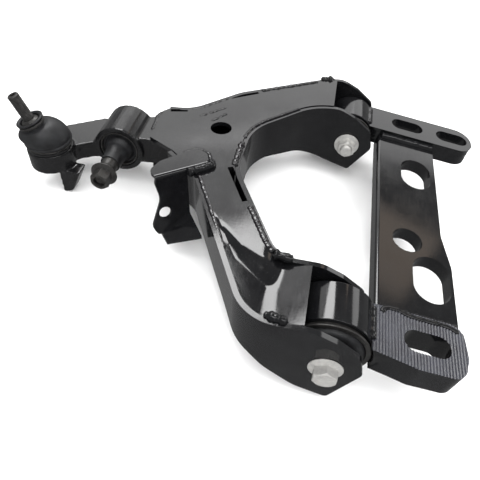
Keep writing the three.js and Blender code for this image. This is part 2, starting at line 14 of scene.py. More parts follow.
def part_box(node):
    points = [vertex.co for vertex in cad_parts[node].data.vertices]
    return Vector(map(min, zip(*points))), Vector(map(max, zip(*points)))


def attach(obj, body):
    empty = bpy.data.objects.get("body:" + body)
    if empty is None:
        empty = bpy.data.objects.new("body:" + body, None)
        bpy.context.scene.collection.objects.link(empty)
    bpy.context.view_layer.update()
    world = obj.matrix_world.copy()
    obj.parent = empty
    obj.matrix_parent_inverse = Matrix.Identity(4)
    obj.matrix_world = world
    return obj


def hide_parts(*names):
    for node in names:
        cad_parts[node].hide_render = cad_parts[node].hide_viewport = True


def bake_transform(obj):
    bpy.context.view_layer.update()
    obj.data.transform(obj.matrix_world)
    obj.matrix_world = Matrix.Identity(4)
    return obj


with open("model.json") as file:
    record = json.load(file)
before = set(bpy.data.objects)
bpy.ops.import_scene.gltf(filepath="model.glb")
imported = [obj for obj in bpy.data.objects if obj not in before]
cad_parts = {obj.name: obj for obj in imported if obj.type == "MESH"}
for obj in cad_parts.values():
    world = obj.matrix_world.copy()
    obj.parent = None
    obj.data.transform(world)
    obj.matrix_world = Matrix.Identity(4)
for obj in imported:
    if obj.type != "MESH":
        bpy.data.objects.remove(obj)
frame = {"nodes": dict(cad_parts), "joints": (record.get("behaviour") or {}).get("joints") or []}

logging.basicConfig(level=logging.INFO, format="%(levelname)s %(message)s")
log = logging.getLogger("control_arm")

MM = 0.001
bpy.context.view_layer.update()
JOINTS = {joint["name"]: joint for joint in frame["joints"]}
PIVOT = Vector(JOINTS["arm_swing"]["pos_m"])
BALL = Vector(JOINTS["stud_swing"]["pos_m"])
STUD_AXIS = Vector(JOINTS["stud_spin"]["axis"]).normalized()
DAMPER = Vector(JOINTS["damper_twist"]["pos_m"])
Profile = Sequence[tuple[float, float]]


class Body(Enum):
    """The bodies that pieces ride on."""

    BRACKET = "frame_bracket"
    ARM = "control_arm"
    SEAT = "ball_seat"
    COLLAR = "boot_collar"
    STUD = "ball_stud"
    PIN = "damper_pin"


class Slot(Enum):
    """The record's material slots."""

    GLOSS = "gloss_black"
    PAD = "gloss_black_machined"
    SATIN = "satin_black"
    RUBBER = "rubber"
    ZINC = "zinc"
    BLACK_STEEL = "black_steel"
    BARE_STEEL = "bare_steel"
    ACETAL = "acetal"


# ---------------------------------------------------------------- shading

Colour = tuple[float, float, float]


class Signal:
    """A value on a node's output, with the arithmetic written as Python operators."""

    def __init__(self, graph: "NodeGraph", socket: bpy.types.NodeSocket) -> None:
        """Wrap a socket.

        Args:
            graph: The node graph that the socket is in.
            socket: The output socket.
        """
        self.graph = graph
        self.socket = socket

    def _math(self, operation: str, first: "Signal | float", second: "Signal | float") -> "Signal":
        """Add one Math node and return its output."""
        node = self.graph.node("ShaderNodeMath", {"operation": operation}, {0: first, 1: second})
        return Signal(self.graph, node.outputs[0])

    def __add__(self, other: "Signal | float") -> "Signal":
        """Return self + other."""
        return self._math("ADD", self, other)

    def __radd__(self, other: float) -> "Signal":
        """Return other + self."""
        return self._math("ADD", other, self)

    def __rsub__(self, other: float) -> "Signal":
        """Return other - self."""
        return self._math("SUBTRACT", other, self)

    def __mul__(self, other: "Signal | float") -> "Signal":
        """Return self * other."""
        return self._math("MULTIPLY", self, other)

    def band(self, low: float, high: float) -> "Signal":
        """Return a ramp from 0 at low to 1 at high.

        Args:
            low: The value that gives 0.
            high: The value that gives 1.

        Returns:
            The clamped ramp.
        """
        node = self.graph.node("ShaderNodeMapRange", {"clamp": True},
                               {"Value": self, "From Min": low, "From Max": high})
        return Signal(self.graph, node.outputs[0])


class NodeGraph:
    """A material's nodes, all made through one method."""

    def __init__(self, name: str) -> None:
        """Start an empty material.

        Args:
            name: The material's name.
        """
        self.material = bpy.data.materials.new(name)
        self.material.use_nodes = True
        self.tree = self.material.node_tree
        self.tree.nodes.clear()

    def node(self, kind: str, settings: dict | None = None, inputs: dict | None = None) -> bpy.types.Node:
        """Add a node of any type.

        Args:
            kind: The node's type name.
            settings: Its properties, which are set first.
            inputs: The value, Signal or socket of each input, by name or index.

        Returns:
            The new node.
        """
        node = self.tree.nodes.new(kind)
        for key, value in (settings or {}).items():
            setattr(node, key, value)
        for key, value in (inputs or {}).items():
            if isinstance(value, Signal):
                self.tree.links.new(value.socket, node.inputs[key])
            elif isinstance(value, bpy.types.NodeSocket):
                self.tree.links.new(value, node.inputs[key])
            else:
                node.inputs[key].default_value = value
        return node

    def place(self) -> bpy.types.NodeSocket:
        """Return the object-space position, in metres."""
        return self.node("ShaderNodeTexCoord").outputs["Object"]

    def stretched(self, scale: Colour) -> bpy.types.NodeSocket:
        """Return the object-space position, stretched along each axis.

        Args:
            scale: The factor on each axis.

        Returns:
            The stretched position.
        """
        node = self.node("ShaderNodeVectorMath", {"operation": "MULTIPLY"}, {0: self.place(), 1: scale})
        return node.outputs[0]

    def noise(self, size: float, detail: float = 3.0, roughness: float = 0.55,
              place: bpy.types.NodeSocket | None = None) -> Signal:
        """Return a noise pattern about 0.5.

        Args:
            size: The size of its features in metres.
            detail: The number of octaves.
            roughness: The share of the fine octaves.
            place: The position to use, the object's own if it is left out.

        Returns:
            The pattern.
        """
        node = self.node("ShaderNodeTexNoise", {"noise_dimensions": "3D"},
                         {"Vector": place or self.place(), "Scale": 1 / size, "Detail": detail,
                          "Roughness": roughness})
        return Signal(self, node.outputs[0])

    def cells(self, size: float) -> Signal:
        """Return the distance to the nearest of scattered points, in cell sizes.

        Args:
            size: The mean spacing of the points in metres.

        Returns:
            The distance.
        """
        node = self.node("ShaderNodeTexVoronoi", {"feature": "F1"},
                         {"Vector": self.place(), "Scale": 1 / size})
        return Signal(self, node.outputs[0])

    def mix(self, factor: Signal, low: Colour | bpy.types.NodeSocket, high: Colour) -> bpy.types.NodeSocket:
        """Return a colour between two.

        Args:
            factor: 0 for low, 1 for high.
            low: The first colour.
            high: The second colour.

        Returns:
            The mixed colour.
        """
        first = low if isinstance(low, bpy.types.NodeSocket) else (*low, 1.0)
        node = self.node("ShaderNodeMix", {"data_type": "RGBA"}, {0: factor, 6: first, 7: (*high, 1.0)})
        return node.outputs[2]

    def bump(self, height: Signal, depth: float, strength: float = 1.0) -> bpy.types.NodeSocket:
        """Return a bumped normal.

        Args:
            height: The height pattern, from 0 to 1.
            depth: The depth of the pattern in metres.
            strength: How much of it shows.

        Returns:
            The normal.
        """
        node = self.node("ShaderNodeBump", None, {"Height": height, "Distance": depth, "Strength": strength})
        return node.outputs[0]

    def surface(self, **inputs: object) -> bpy.types.Material:
        """Finish the material with a Principled shader.

        Args:
            inputs: The shader's inputs, with underscores for spaces.

        Returns:
            The material.
        """
        named = {key.replace("_", " "): value for key, value in inputs.items()}
        shader = self.node("ShaderNodeBsdfPrincipled", None, named)
        self.node("ShaderNodeOutputMaterial", None, {"Surface": shader.outputs[0]})
        return self.material


@dataclass(frozen=True)
class Paint:
    """Black paint over steel: a dark film with orange peel, thin spots and fine dust."""

    name: str
    colour: Colour = (0.0025, 0.0025, 0.003)
    haze: Colour = (0.007, 0.0072, 0.0078)
    roughness: float = 0.06
    roughness_spread: float = 0.08
    peel_size: float = 2.2 * MM
    peel_depth: float = 0.012 * MM
    grain_size: float = 0.5 * MM
    grain_depth: float = 0.004 * MM

    def make(self) -> bpy.types.Material:
        """Make the finish.

        Returns:
            The material.
        """
        graph = NodeGraph(self.name)
        cloud = graph.noise(28 * MM, 4.0)
        streak = graph.noise(3 * MM, 2.0, 0.6, graph.stretched((1.0, 0.18, 1.0)))
        speck = 1.0 - graph.cells(2.6 * MM).band(0.05, 0.11)
        film = (cloud * 0.7 + streak * 0.3).band(0.35, 0.68)
        colour = graph.mix(film, self.colour, self.haze)
        dusty = graph.mix(speck * 0.3, colour, (0.10, 0.10, 0.10))
        rough = self.roughness + film * self.roughness_spread + speck * 0.15
        peel = graph.bump(graph.noise(self.peel_size, 1.5), self.peel_depth)
        grain = graph.node("ShaderNodeBump", None, {"Height": graph.noise(self.grain_size, 2.0),
                                                    "Distance": self.grain_depth, "Normal": peel})
        return graph.surface(Base_Color=dusty, Roughness=rough, Normal=grain.outputs[0], IOR=1.5)


@dataclass(frozen=True)
class Rubber:
    """Moulded rubber with a dry bloom and a fine skin."""

    name: str
    colour: Colour = (0.006, 0.006, 0.0065)
    bloom: Colour = (0.014, 0.0145, 0.016)
    roughness: float = 0.42
    grain_depth: float = 0.03 * MM

    def make(self) -> bpy.types.Material:
        """Make the finish.

        Returns:
            The material.
        """
        graph = NodeGraph(self.name)
        cloud = graph.noise(9 * MM, 5.0, 0.6).band(0.35, 0.7)
        skin = graph.noise(0.35 * MM, 2.0)
        scuff = graph.noise(1.6 * MM, 4.0, 0.7).band(0.58, 0.72)
        colour = graph.mix(scuff * 0.4, graph.mix(cloud, self.colour, self.bloom), (0.035, 0.035, 0.037))
        rough = self.roughness + cloud * 0.14 + scuff * 0.1
        return graph.surface(Base_Color=colour, Roughness=rough,
                             Normal=graph.bump(skin, self.grain_depth, 0.7))


@dataclass(frozen=True)
class Metal:
    """Bare or plated steel: cloudy colour, fine grain, and stains where it was handled."""

    name: str
    colour: Colour
    shade: Colour
    stain: Colour
    metallic: float = 1.0
    roughness: float = 0.34
    grain_size: float = 0.5 * MM
    grain_depth: float = 0.012 * MM
    lines: Colour = (1.0, 1.0, 1.0)

    def make(self) -> bpy.types.Material:
        """Make the finish.

        Returns:
            The material.
        """
        graph = NodeGraph(self.name)
        cloud = graph.noise(5 * MM, 4.0, 0.6).band(0.32, 0.7)
        stain = graph.noise(2.2 * MM, 5.0, 0.7).band(0.6, 0.74)
        grain = graph.noise(self.grain_size, 2.0, 0.5, graph.stretched(self.lines))
        colour = graph.mix(stain * 0.6, graph.mix(cloud, self.colour, self.shade), self.stain)
        rough = self.roughness + cloud * 0.1 + stain * 0.16
        metal = self.metallic - stain * 0.25
        return graph.surface(Base_Color=colour, Metallic=metal, Roughness=rough,
                             Normal=graph.bump(grain, self.grain_depth, 0.8))


@dataclass(frozen=True)
class Acetal:
    """Natural moulded acetal with a soft sheen."""

    name: str
    colour: Colour = (0.72, 0.7, 0.63)
    shade: Colour = (0.6, 0.57, 0.5)

    def make(self) -> bpy.types.Material:
        """Make the finish.

        Returns:
            The material.
        """
        graph = NodeGraph(self.name)
        cloud = graph.noise(4 * MM, 3.0)
        return graph.surface(Base_Color=graph.mix(cloud, self.colour, self.shade),
                             Roughness=0.4 + cloud * 0.12,
                             Normal=graph.bump(graph.noise(0.4 * MM), 0.01 * MM))


FINISHES = {
    Slot.GLOSS: Paint("gloss_black_paint"),
    # The serrations get a lighter, bluish colour and haze: a painted sheen standing in for the glints off the
    # grooves.
    Slot.PAD: Paint("gloss_black_paint_on_serrations_with_painted_sheen", colour=(0.012, 0.012, 0.016),
                    haze=(0.04, 0.042, 0.052), roughness=0.22, roughness_spread=0.10,
                    grain_size=0.4 * MM, grain_depth=0.02 * MM),
    Slot.SATIN: Paint("satin_black_paint_on_forging", colour=(0.003, 0.003, 0.0033),
                      haze=(0.009, 0.009, 0.0095), roughness=0.09, roughness_spread=0.14,
                      peel_size=1.6 * MM, peel_depth=0.03 * MM,
                      grain_size=0.6 * MM, grain_depth=0.015 * MM),
    Slot.RUBBER: Rubber("black_moulded_rubber"),
    Slot.ZINC: Metal("pale_zinc_plate", (0.80, 0.79, 0.76), (0.62, 0.61, 0.59), (0.5, 0.47, 0.4),
                     metallic=0.75, roughness=0.3),
    Slot.BLACK_STEEL: Metal("black_phosphated_steel", (0.036, 0.035, 0.034), (0.07, 0.068, 0.066),
                            (0.02, 0.019, 0.018), metallic=0.7, roughness=0.34, grain_depth=0.02 * MM),
    Slot.BARE_STEEL: Metal("bare_drawn_steel", (0.42, 0.42, 0.43), (0.3, 0.3, 0.3), (0.2, 0.17, 0.14),
                           roughness=0.36, lines=(1.0, 0.1, 1.0)),
    Slot.ACETAL: Acetal("natural_acetal"),
}


# ---------------------------------------------------------------- mesh tools

class Workshop:
    """Turns mesh code into named, dressed pieces that ride on a body."""

    def __init__(self) -> None:
        """Make every material once."""
        self.materials = {slot: finish.make() for slot, finish in FINISHES.items()}

    def piece(self, name: str, mesh: bmesh.types.BMesh, slot: Slot, body: Body | None,
              replaces: Sequence[str] = ()) -> bpy.types.Object:
        """Turn a bmesh into a finished piece.

        Args:
            name: The piece's name.
            mesh: The mesh, which is freed.
            slot: The material slot that it takes its finish from.
            body: The body that it rides on, or None to leave it unattached.
            replaces: CAD nodes that it stands for.

        Returns:
            The new object.
        """
        bmesh.ops.recalc_face_normals(mesh, faces=mesh.faces)
        for face in mesh.faces:
            face.smooth = True
        data = bpy.data.meshes.new(name)
        mesh.to_mesh(data)
        mesh.free()
        obj = bpy.data.objects.new(name, data)
        bpy.context.scene.collection.objects.link(obj)
        obj.data.materials.append(self.materials[slot])
        normals = obj.modifiers.new("even_normals", "WEIGHTED_NORMAL")
        normals.weight = 80
        normals.keep_sharp = True
        if body is not None:
            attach(obj, body.value)
        if replaces:
            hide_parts(*replaces)
        log.info("%s: %d faces, %s", name, len(data.polygons), slot.value)
        return obj

    def dress(self, node: str, slot: Slot) -> None:
        """Give a CAD node that stays as it is its material.

        Args:
            node: The node's name.
            slot: The material slot.
        """
        data = frame["nodes"][node].data
        data.materials.clear()
        data.materials.append(self.materials[slot])
        log.info("%s: kept from the frame, %s", node, slot.value)


def solid_of(node: str, flat: float = math.radians(0.6)) -> bmesh.types.BMesh:
    """Copy a CAD node's solid into a new bmesh with whole faces.

    Args:
        node: The node's name.
        flat: Faces whose angle is under this are joined.

    Returns:
        The copy, with shared edges.
    """
    mesh = bmesh.new()
    mesh.from_mesh(frame["nodes"][node].data)
    bmesh.ops.remove_doubles(mesh, verts=mesh.verts, dist=0.004 * MM)
    bmesh.ops.dissolve_limit(mesh, angle_limit=flat, verts=mesh.verts, edges=mesh.edges)
    return mesh


def round_edges(mesh: bmesh.types.BMesh, radius: float, segments: int = 3,
                wanted: Callable[[bmesh.types.BMEdge], bool] = lambda edge: True) -> None:
    """Round the sharp edges of a solid.

    Args:
        mesh: The solid.
        radius: The width of the rounding.
        segments: The number of strips across it.
        wanted: Picks the edges to round among the sharp ones.
    """
    sharp = [edge for edge in mesh.edges
             if len(edge.link_faces) == 2 and edge.calc_face_angle(0.0) > math.radians(32) and wanted(edge)]
    bmesh.ops.bevel(mesh, geom=sharp, offset=radius, offset_type="OFFSET", segments=segments, profile=0.6,
                    affect="EDGES", clamp_overlap=True, material=-1)


def slice_across(mesh: bmesh.types.BMesh, normal: Vector, start: float, stop: float, step: float,
                 faces: Callable[[bmesh.types.BMFace], bool] = lambda face: True) -> None:
    """Cut a mesh along parallel planes, so that it can bend or take grooves.

    Args:
        mesh: The mesh.
        normal: The planes' normal.
        start: The first plane's distance from the origin.
        stop: The last plane's distance.
        step: The spacing of the planes.
        faces: Picks the faces to cut.
    """
    for i in range(int((stop - start) / step) + 1):
        chosen = [face for face in mesh.faces if faces(face)]
        edges = {edge for face in chosen for edge in face.edges}
        verts = {vert for face in chosen for vert in face.verts}
        bmesh.ops.bisect_plane(mesh, geom=[*verts, *edges, *chosen], dist=1e-7,
                               plane_co=normal * (start + i * step), plane_no=normal)


def rounded(profile: Profile, radius: float, steps: int = 3) -> list[tuple[float, float]]:
    """Round the corners of a closed profile.

    Args:
        profile: The corners.
        radius: The rounding's reach along each side, where there is room.
        steps: The number of strips in each corner.

    Returns:
        The rounded outline.
    """
    result = []
    points = [Vector(p) for p in profile]
    for i, here in enumerate(points):
        before, after = points[i - 1], points[(i + 1) % len(points)]
        if here.x < 1e-6:
            result.append(tuple(here))
            continue
        reach = min(radius, (before - here).length * 0.42, (after - here).length * 0.42)
        start = here + (before - here).normalized() * reach
        end = here + (after - here).normalized() * reach
        for k in range(steps + 1):
            t = k / steps
            result.append(tuple(start.lerp(here, t).lerp(here.lerp(end, t), t)))
    return result


@dataclass(frozen=True)
class Thread:
    """A screw thread on part of a turned piece."""

    start: float
    end: float
    pitch: float
    depth: float

    def cut(self, radius: float, height: float, angle: float) -> float:
        """Return the radius that the thread leaves at a place.

        Args:
            radius: The radius before the thread is cut.
            height: The height along the axis.
            angle: The angle round the axis.

        Returns:
            The radius at the thread's flank.
        """
        if not self.start < height < self.end:
            return radius
        fade = min(1.0, (height - self.start) / self.pitch, (self.end - height) / self.pitch)
        phase = (height / self.pitch - angle / math.tau) % 1.0
        return radius - self.depth * fade * abs(2 * phase - 1)


def turned(profile: Profile, segments: int = 64, thread: Thread | None = None) -> bmesh.types.BMesh:
    """Turn a closed profile of (radius, height) corners about Z.

    Args:
        profile: The outline; corners on the axis have radius 0.
        segments: The number of sides.
        thread: A thread cut into it.

    Returns:
        The solid, standing on Z at the origin.
    """
    outline = list(profile)
    if thread:
        outline = with_thread_rings(outline, thread)
    mesh = bmesh.new()
    rings: list[list[bmesh.types.BMVert]] = []
    for radius, height in outline:
        if radius < 1e-6:
            rings.append([mesh.verts.new((0, 0, height))])
            continue
        ring = []
        for k in range(segments):
            angle = math.tau * k / segments
            r = thread.cut(radius, height, angle) if thread else radius
            ring.append(mesh.verts.new((r * math.cos(angle), r * math.sin(angle), height)))
        rings.append(ring)
    for i, low in enumerate(rings):
        high = rings[(i + 1) % len(rings)]
        if len(low) == 1 and len(high) == 1:
            continue
        for k in range(segments):
            n = (k + 1) % segments
            corners = [low[k % len(low)], low[n % len(low)], high[n % len(high)], high[k % len(high)]]
            mesh.faces.new(list(dict.fromkeys(corners)))
    return mesh


def with_thread_rings(outline: Profile, thread: Thread, rings_per_turn: int = 6) -> list[tuple[float, float]]:
    """Add closely spaced rings where a thread runs.

    Args:
        outline: The profile of (radius, height) corners.
        thread: The thread.
        rings_per_turn: The number of rings in each pitch.

    Returns:
        The profile with more points.
    """
    dense = []
    for (r0, h0), (r1, h1) in zip(outline, [*outline[1:], outline[0]]):
        dense.append((r0, h0))
        is_straight = abs(r1 - r0) < 1e-6 and r0 > 1e-6
        if is_straight and max(h0, h1) > thread.start and min(h0, h1) < thread.end:
            count = max(2, int(abs(h1 - h0) / thread.pitch * rings_per_turn))
            dense.extend((r0, h0 + (h1 - h0) * k / count) for k in range(1, count))
    return dense


def stand(mesh: bmesh.types.BMesh, centre: Vector, axis: Vector) -> bmesh.types.BMesh:
    """Move a turned piece so that its Z axis lies along an axis through a centre.

    Args:
        mesh: The piece.
        centre: Where its origin goes.
        axis: Where its Z axis points.

    Returns:
        The same piece.
    """
    turn = Vector((0, 0, 1)).rotation_difference(axis).to_matrix().to_4x4()
    mesh.transform(Matrix.Translation(centre) @ turn)
    return mesh


def resampled(path: Sequence[Vector], step: float) -> list[Vector]:
    """Return points at even steps along a path.

    Args:
        path: The path's corners.
        step: The spacing.

    Returns:
        The points.
    """
    lengths = [(b - a).length for a, b in zip(path, path[1:])]
    total = sum(lengths)
    count = max(4, round(total / step))
    points = []
    for i in range(count + 1):
        left = total * i / count
        for a, b, length in zip(path, path[1:], lengths):
            if left <= length or b is path[-1]:
                points.append(a.lerp(b, min(1.0, left / max(length, 1e-9))))
                break
            left -= length
    return points


@dataclass(frozen=True)
class Bead:
    """The shape of a weld bead: a crowned strip with the ripples of a moving pool."""

    width: float = 7.0 * MM
    height: float = 2.6 * MM
    ripple: float = 2.6 * MM
    ripple_depth: float = 0.14 * MM
    lumpiness: float = 0.3

    def along(self, path: Sequence[Vector], crown: Vector, seed: float) -> bmesh.types.BMesh:
        """Lay the bead along a path.

        Args:
            path: The line of its root.
            crown: The direction that it stands out in.
            seed: Shifts its irregularities.

        Returns:
            The bead as a closed solid.
        """
        mesh = bmesh.new()
        points = resampled(path, 0.6 * MM)
        run = 0.0
        sides = 12
        rings = []
        for i, here in enumerate(points):
            ahead, behind = points[min(i + 1, len(points) - 1)], points[max(i - 1, 0)]
            forward = (ahead - behind).normalized()
            across = forward.cross(crown).normalized()
            up = across.cross(forward).normalized()
            run += (here - behind).length
            wander = noise.noise(Vector((run * 90, seed, 0)))
            swell = 1.0 + self.lumpiness * noise.noise(Vector((run * 210, seed, 7)))
            end_fade = math.sin(min(1.0, min(i, len(points) - 1 - i) / 4 + 0.18) * math.pi / 2)
            ring = []
            for k in range(sides):
                angle = math.tau * k / sides
                v = math.cos(angle)
                pool = ((run / self.ripple + 0.35 * v * v) % 1.0) * self.ripple_depth
                top = max(math.sin(angle), -0.5) * self.height * swell * end_fade
                lift = pool * max(0.0, math.sin(angle)) * end_fade
                side = v * self.width / 2 * swell * end_fade
                ring.append(mesh.verts.new(here + across * (side + wander * 0.6 * MM) + up * (top + lift)))
            rings.append(ring)
        for low, high in zip(rings, rings[1:]):
            for k in range(sides):
                n = (k + 1) % sides
                mesh.faces.new((low[k], low[n], high[n], high[k]))
        mesh.faces.new(rings[0][::-1])
        mesh.faces.new(rings[-1])
        return mesh


def merged(parts: Sequence[bmesh.types.BMesh]) -> bmesh.types.BMesh:
    """Put several solids into one bmesh and free them.

    Args:
        parts: The solids.

    Returns:
        One bmesh that holds them all.
    """
    whole = bmesh.new()
    scratch = bpy.data.meshes.new("scratch")
    for part in parts:
        part.to_mesh(scratch)
        part.free()
        whole.from_mesh(scratch)
    bpy.data.meshes.remove(scratch)
    return whole


def carved(base: bmesh.types.BMesh, cutters: Sequence[bmesh.types.BMesh]) -> bmesh.types.BMesh:
    """Cut solids out of another.

    Args:
        base: The solid to cut.
        cutters: The solids that cut it.

    Returns:
        The result.
    """
    objects = []
    for mesh in (base, merged(cutters)):
        data = bpy.data.meshes.new("carving")
        mesh.to_mesh(data)
        mesh.free()
        obj = bpy.data.objects.new("carving", data)
        bpy.context.scene.collection.objects.link(obj)
        objects.append(obj)
    modifier = objects[0].modifiers.new("cut", "BOOLEAN")
    modifier.operation = "DIFFERENCE"
    modifier.solver = "EXACT"
    modifier.object = objects[1]
    result = bmesh.new()
    result.from_object(objects[0], bpy.context.evaluated_depsgraph_get())
    for obj in objects:
        data = obj.data
        bpy.data.objects.remove(obj)
        bpy.data.meshes.remove(data)
    return result


def block(centre: Vector, along: Vector, up: Vector, size: tuple[float, float, float]) -> bmesh.types.BMesh:
    """Make a box that cuts a notch.

    Args:
        centre: Its centre.
        along: The direction of its length.
        up: The direction of its height.
        size: Its length, width and height.

    Returns:
        The box.
    """
    mesh = bmesh.new()
    bmesh.ops.create_cube(mesh, size=1.0)
    x = along.normalized()
    y = up.cross(x).normalized()
    z = x.cross(y)
    turn = Matrix((x, y, z)).transposed().to_4x4()
    mesh.transform(Matrix.Translation(centre) @ turn @ Matrix.Diagonal((*size, 1.0)))
    return mesh


def eased(t: float) -> float:
    """Return a smooth step from 0 to 1 as t goes from 0 to 1."""
    t = min(1.0, max(0.0, t))
    return t * t * (3 - 2 * t)


def interpolated(table: Sequence[tuple[float, float]], x: float) -> float:
    """Read a value from a table of (x, value) rows.

    Args:
        table: The rows, with x rising.
        x: Where to read; outside the table the end value holds.

    Returns:
        The value, on a straight line between rows.
    """
    if x <= table[0][0]:
        return table[0][1]
    for (x0, v0), (x1, v1) in zip(table, table[1:]):
        if x <= x1:
            return v0 + (v1 - v0) * (x - x0) / (x1 - x0)
    return table[-1][1]


@dataclass(frozen=True)
class ArmFrame:
    """The arm's own axes: it droops about the pivot axis at rest."""

    droop: float = math.radians(8)
    middle: float = PIVOT.y

    def point(self, reach: float, across: float, height: float) -> Vector:
        """Return the place of a point given in the arm's own millimetres.

        Args:
            reach: The distance from the pivot axis.
            across: The distance along the pivot axis from the middle.
            height: The height over the pivot axis.

        Returns:
            The place, in metres.
        """
        c, s = math.cos(self.droop), math.sin(self.droop)
        return Vector((PIVOT.x + (reach * c - height * s) * MM, self.middle + across * MM,
                       PIVOT.z + (reach * s + height * c) * MM))

    def up(self) -> Vector:
        """Return the direction square to the deck."""
        return Vector((-math.sin(self.droop), 0, math.cos(self.droop)))

    def plan(self, place: Vector) -> tuple[float, float, float]:
        """Return a place in the arm's own millimetres.

        Args:
            place: The place, in metres.

        Returns:
            Its reach, its distance across and its height.
        """
        c, s = math.cos(self.droop), math.sin(self.droop)
        x, z = place.x - PIVOT.x, place.z - PIVOT.z
        return (x * c + z * s) / MM, (place.y - self.middle) / MM, (z * c - x * s) / MM


ARM = ArmFrame()


# ---------------------------------------------------------------- frame bracket

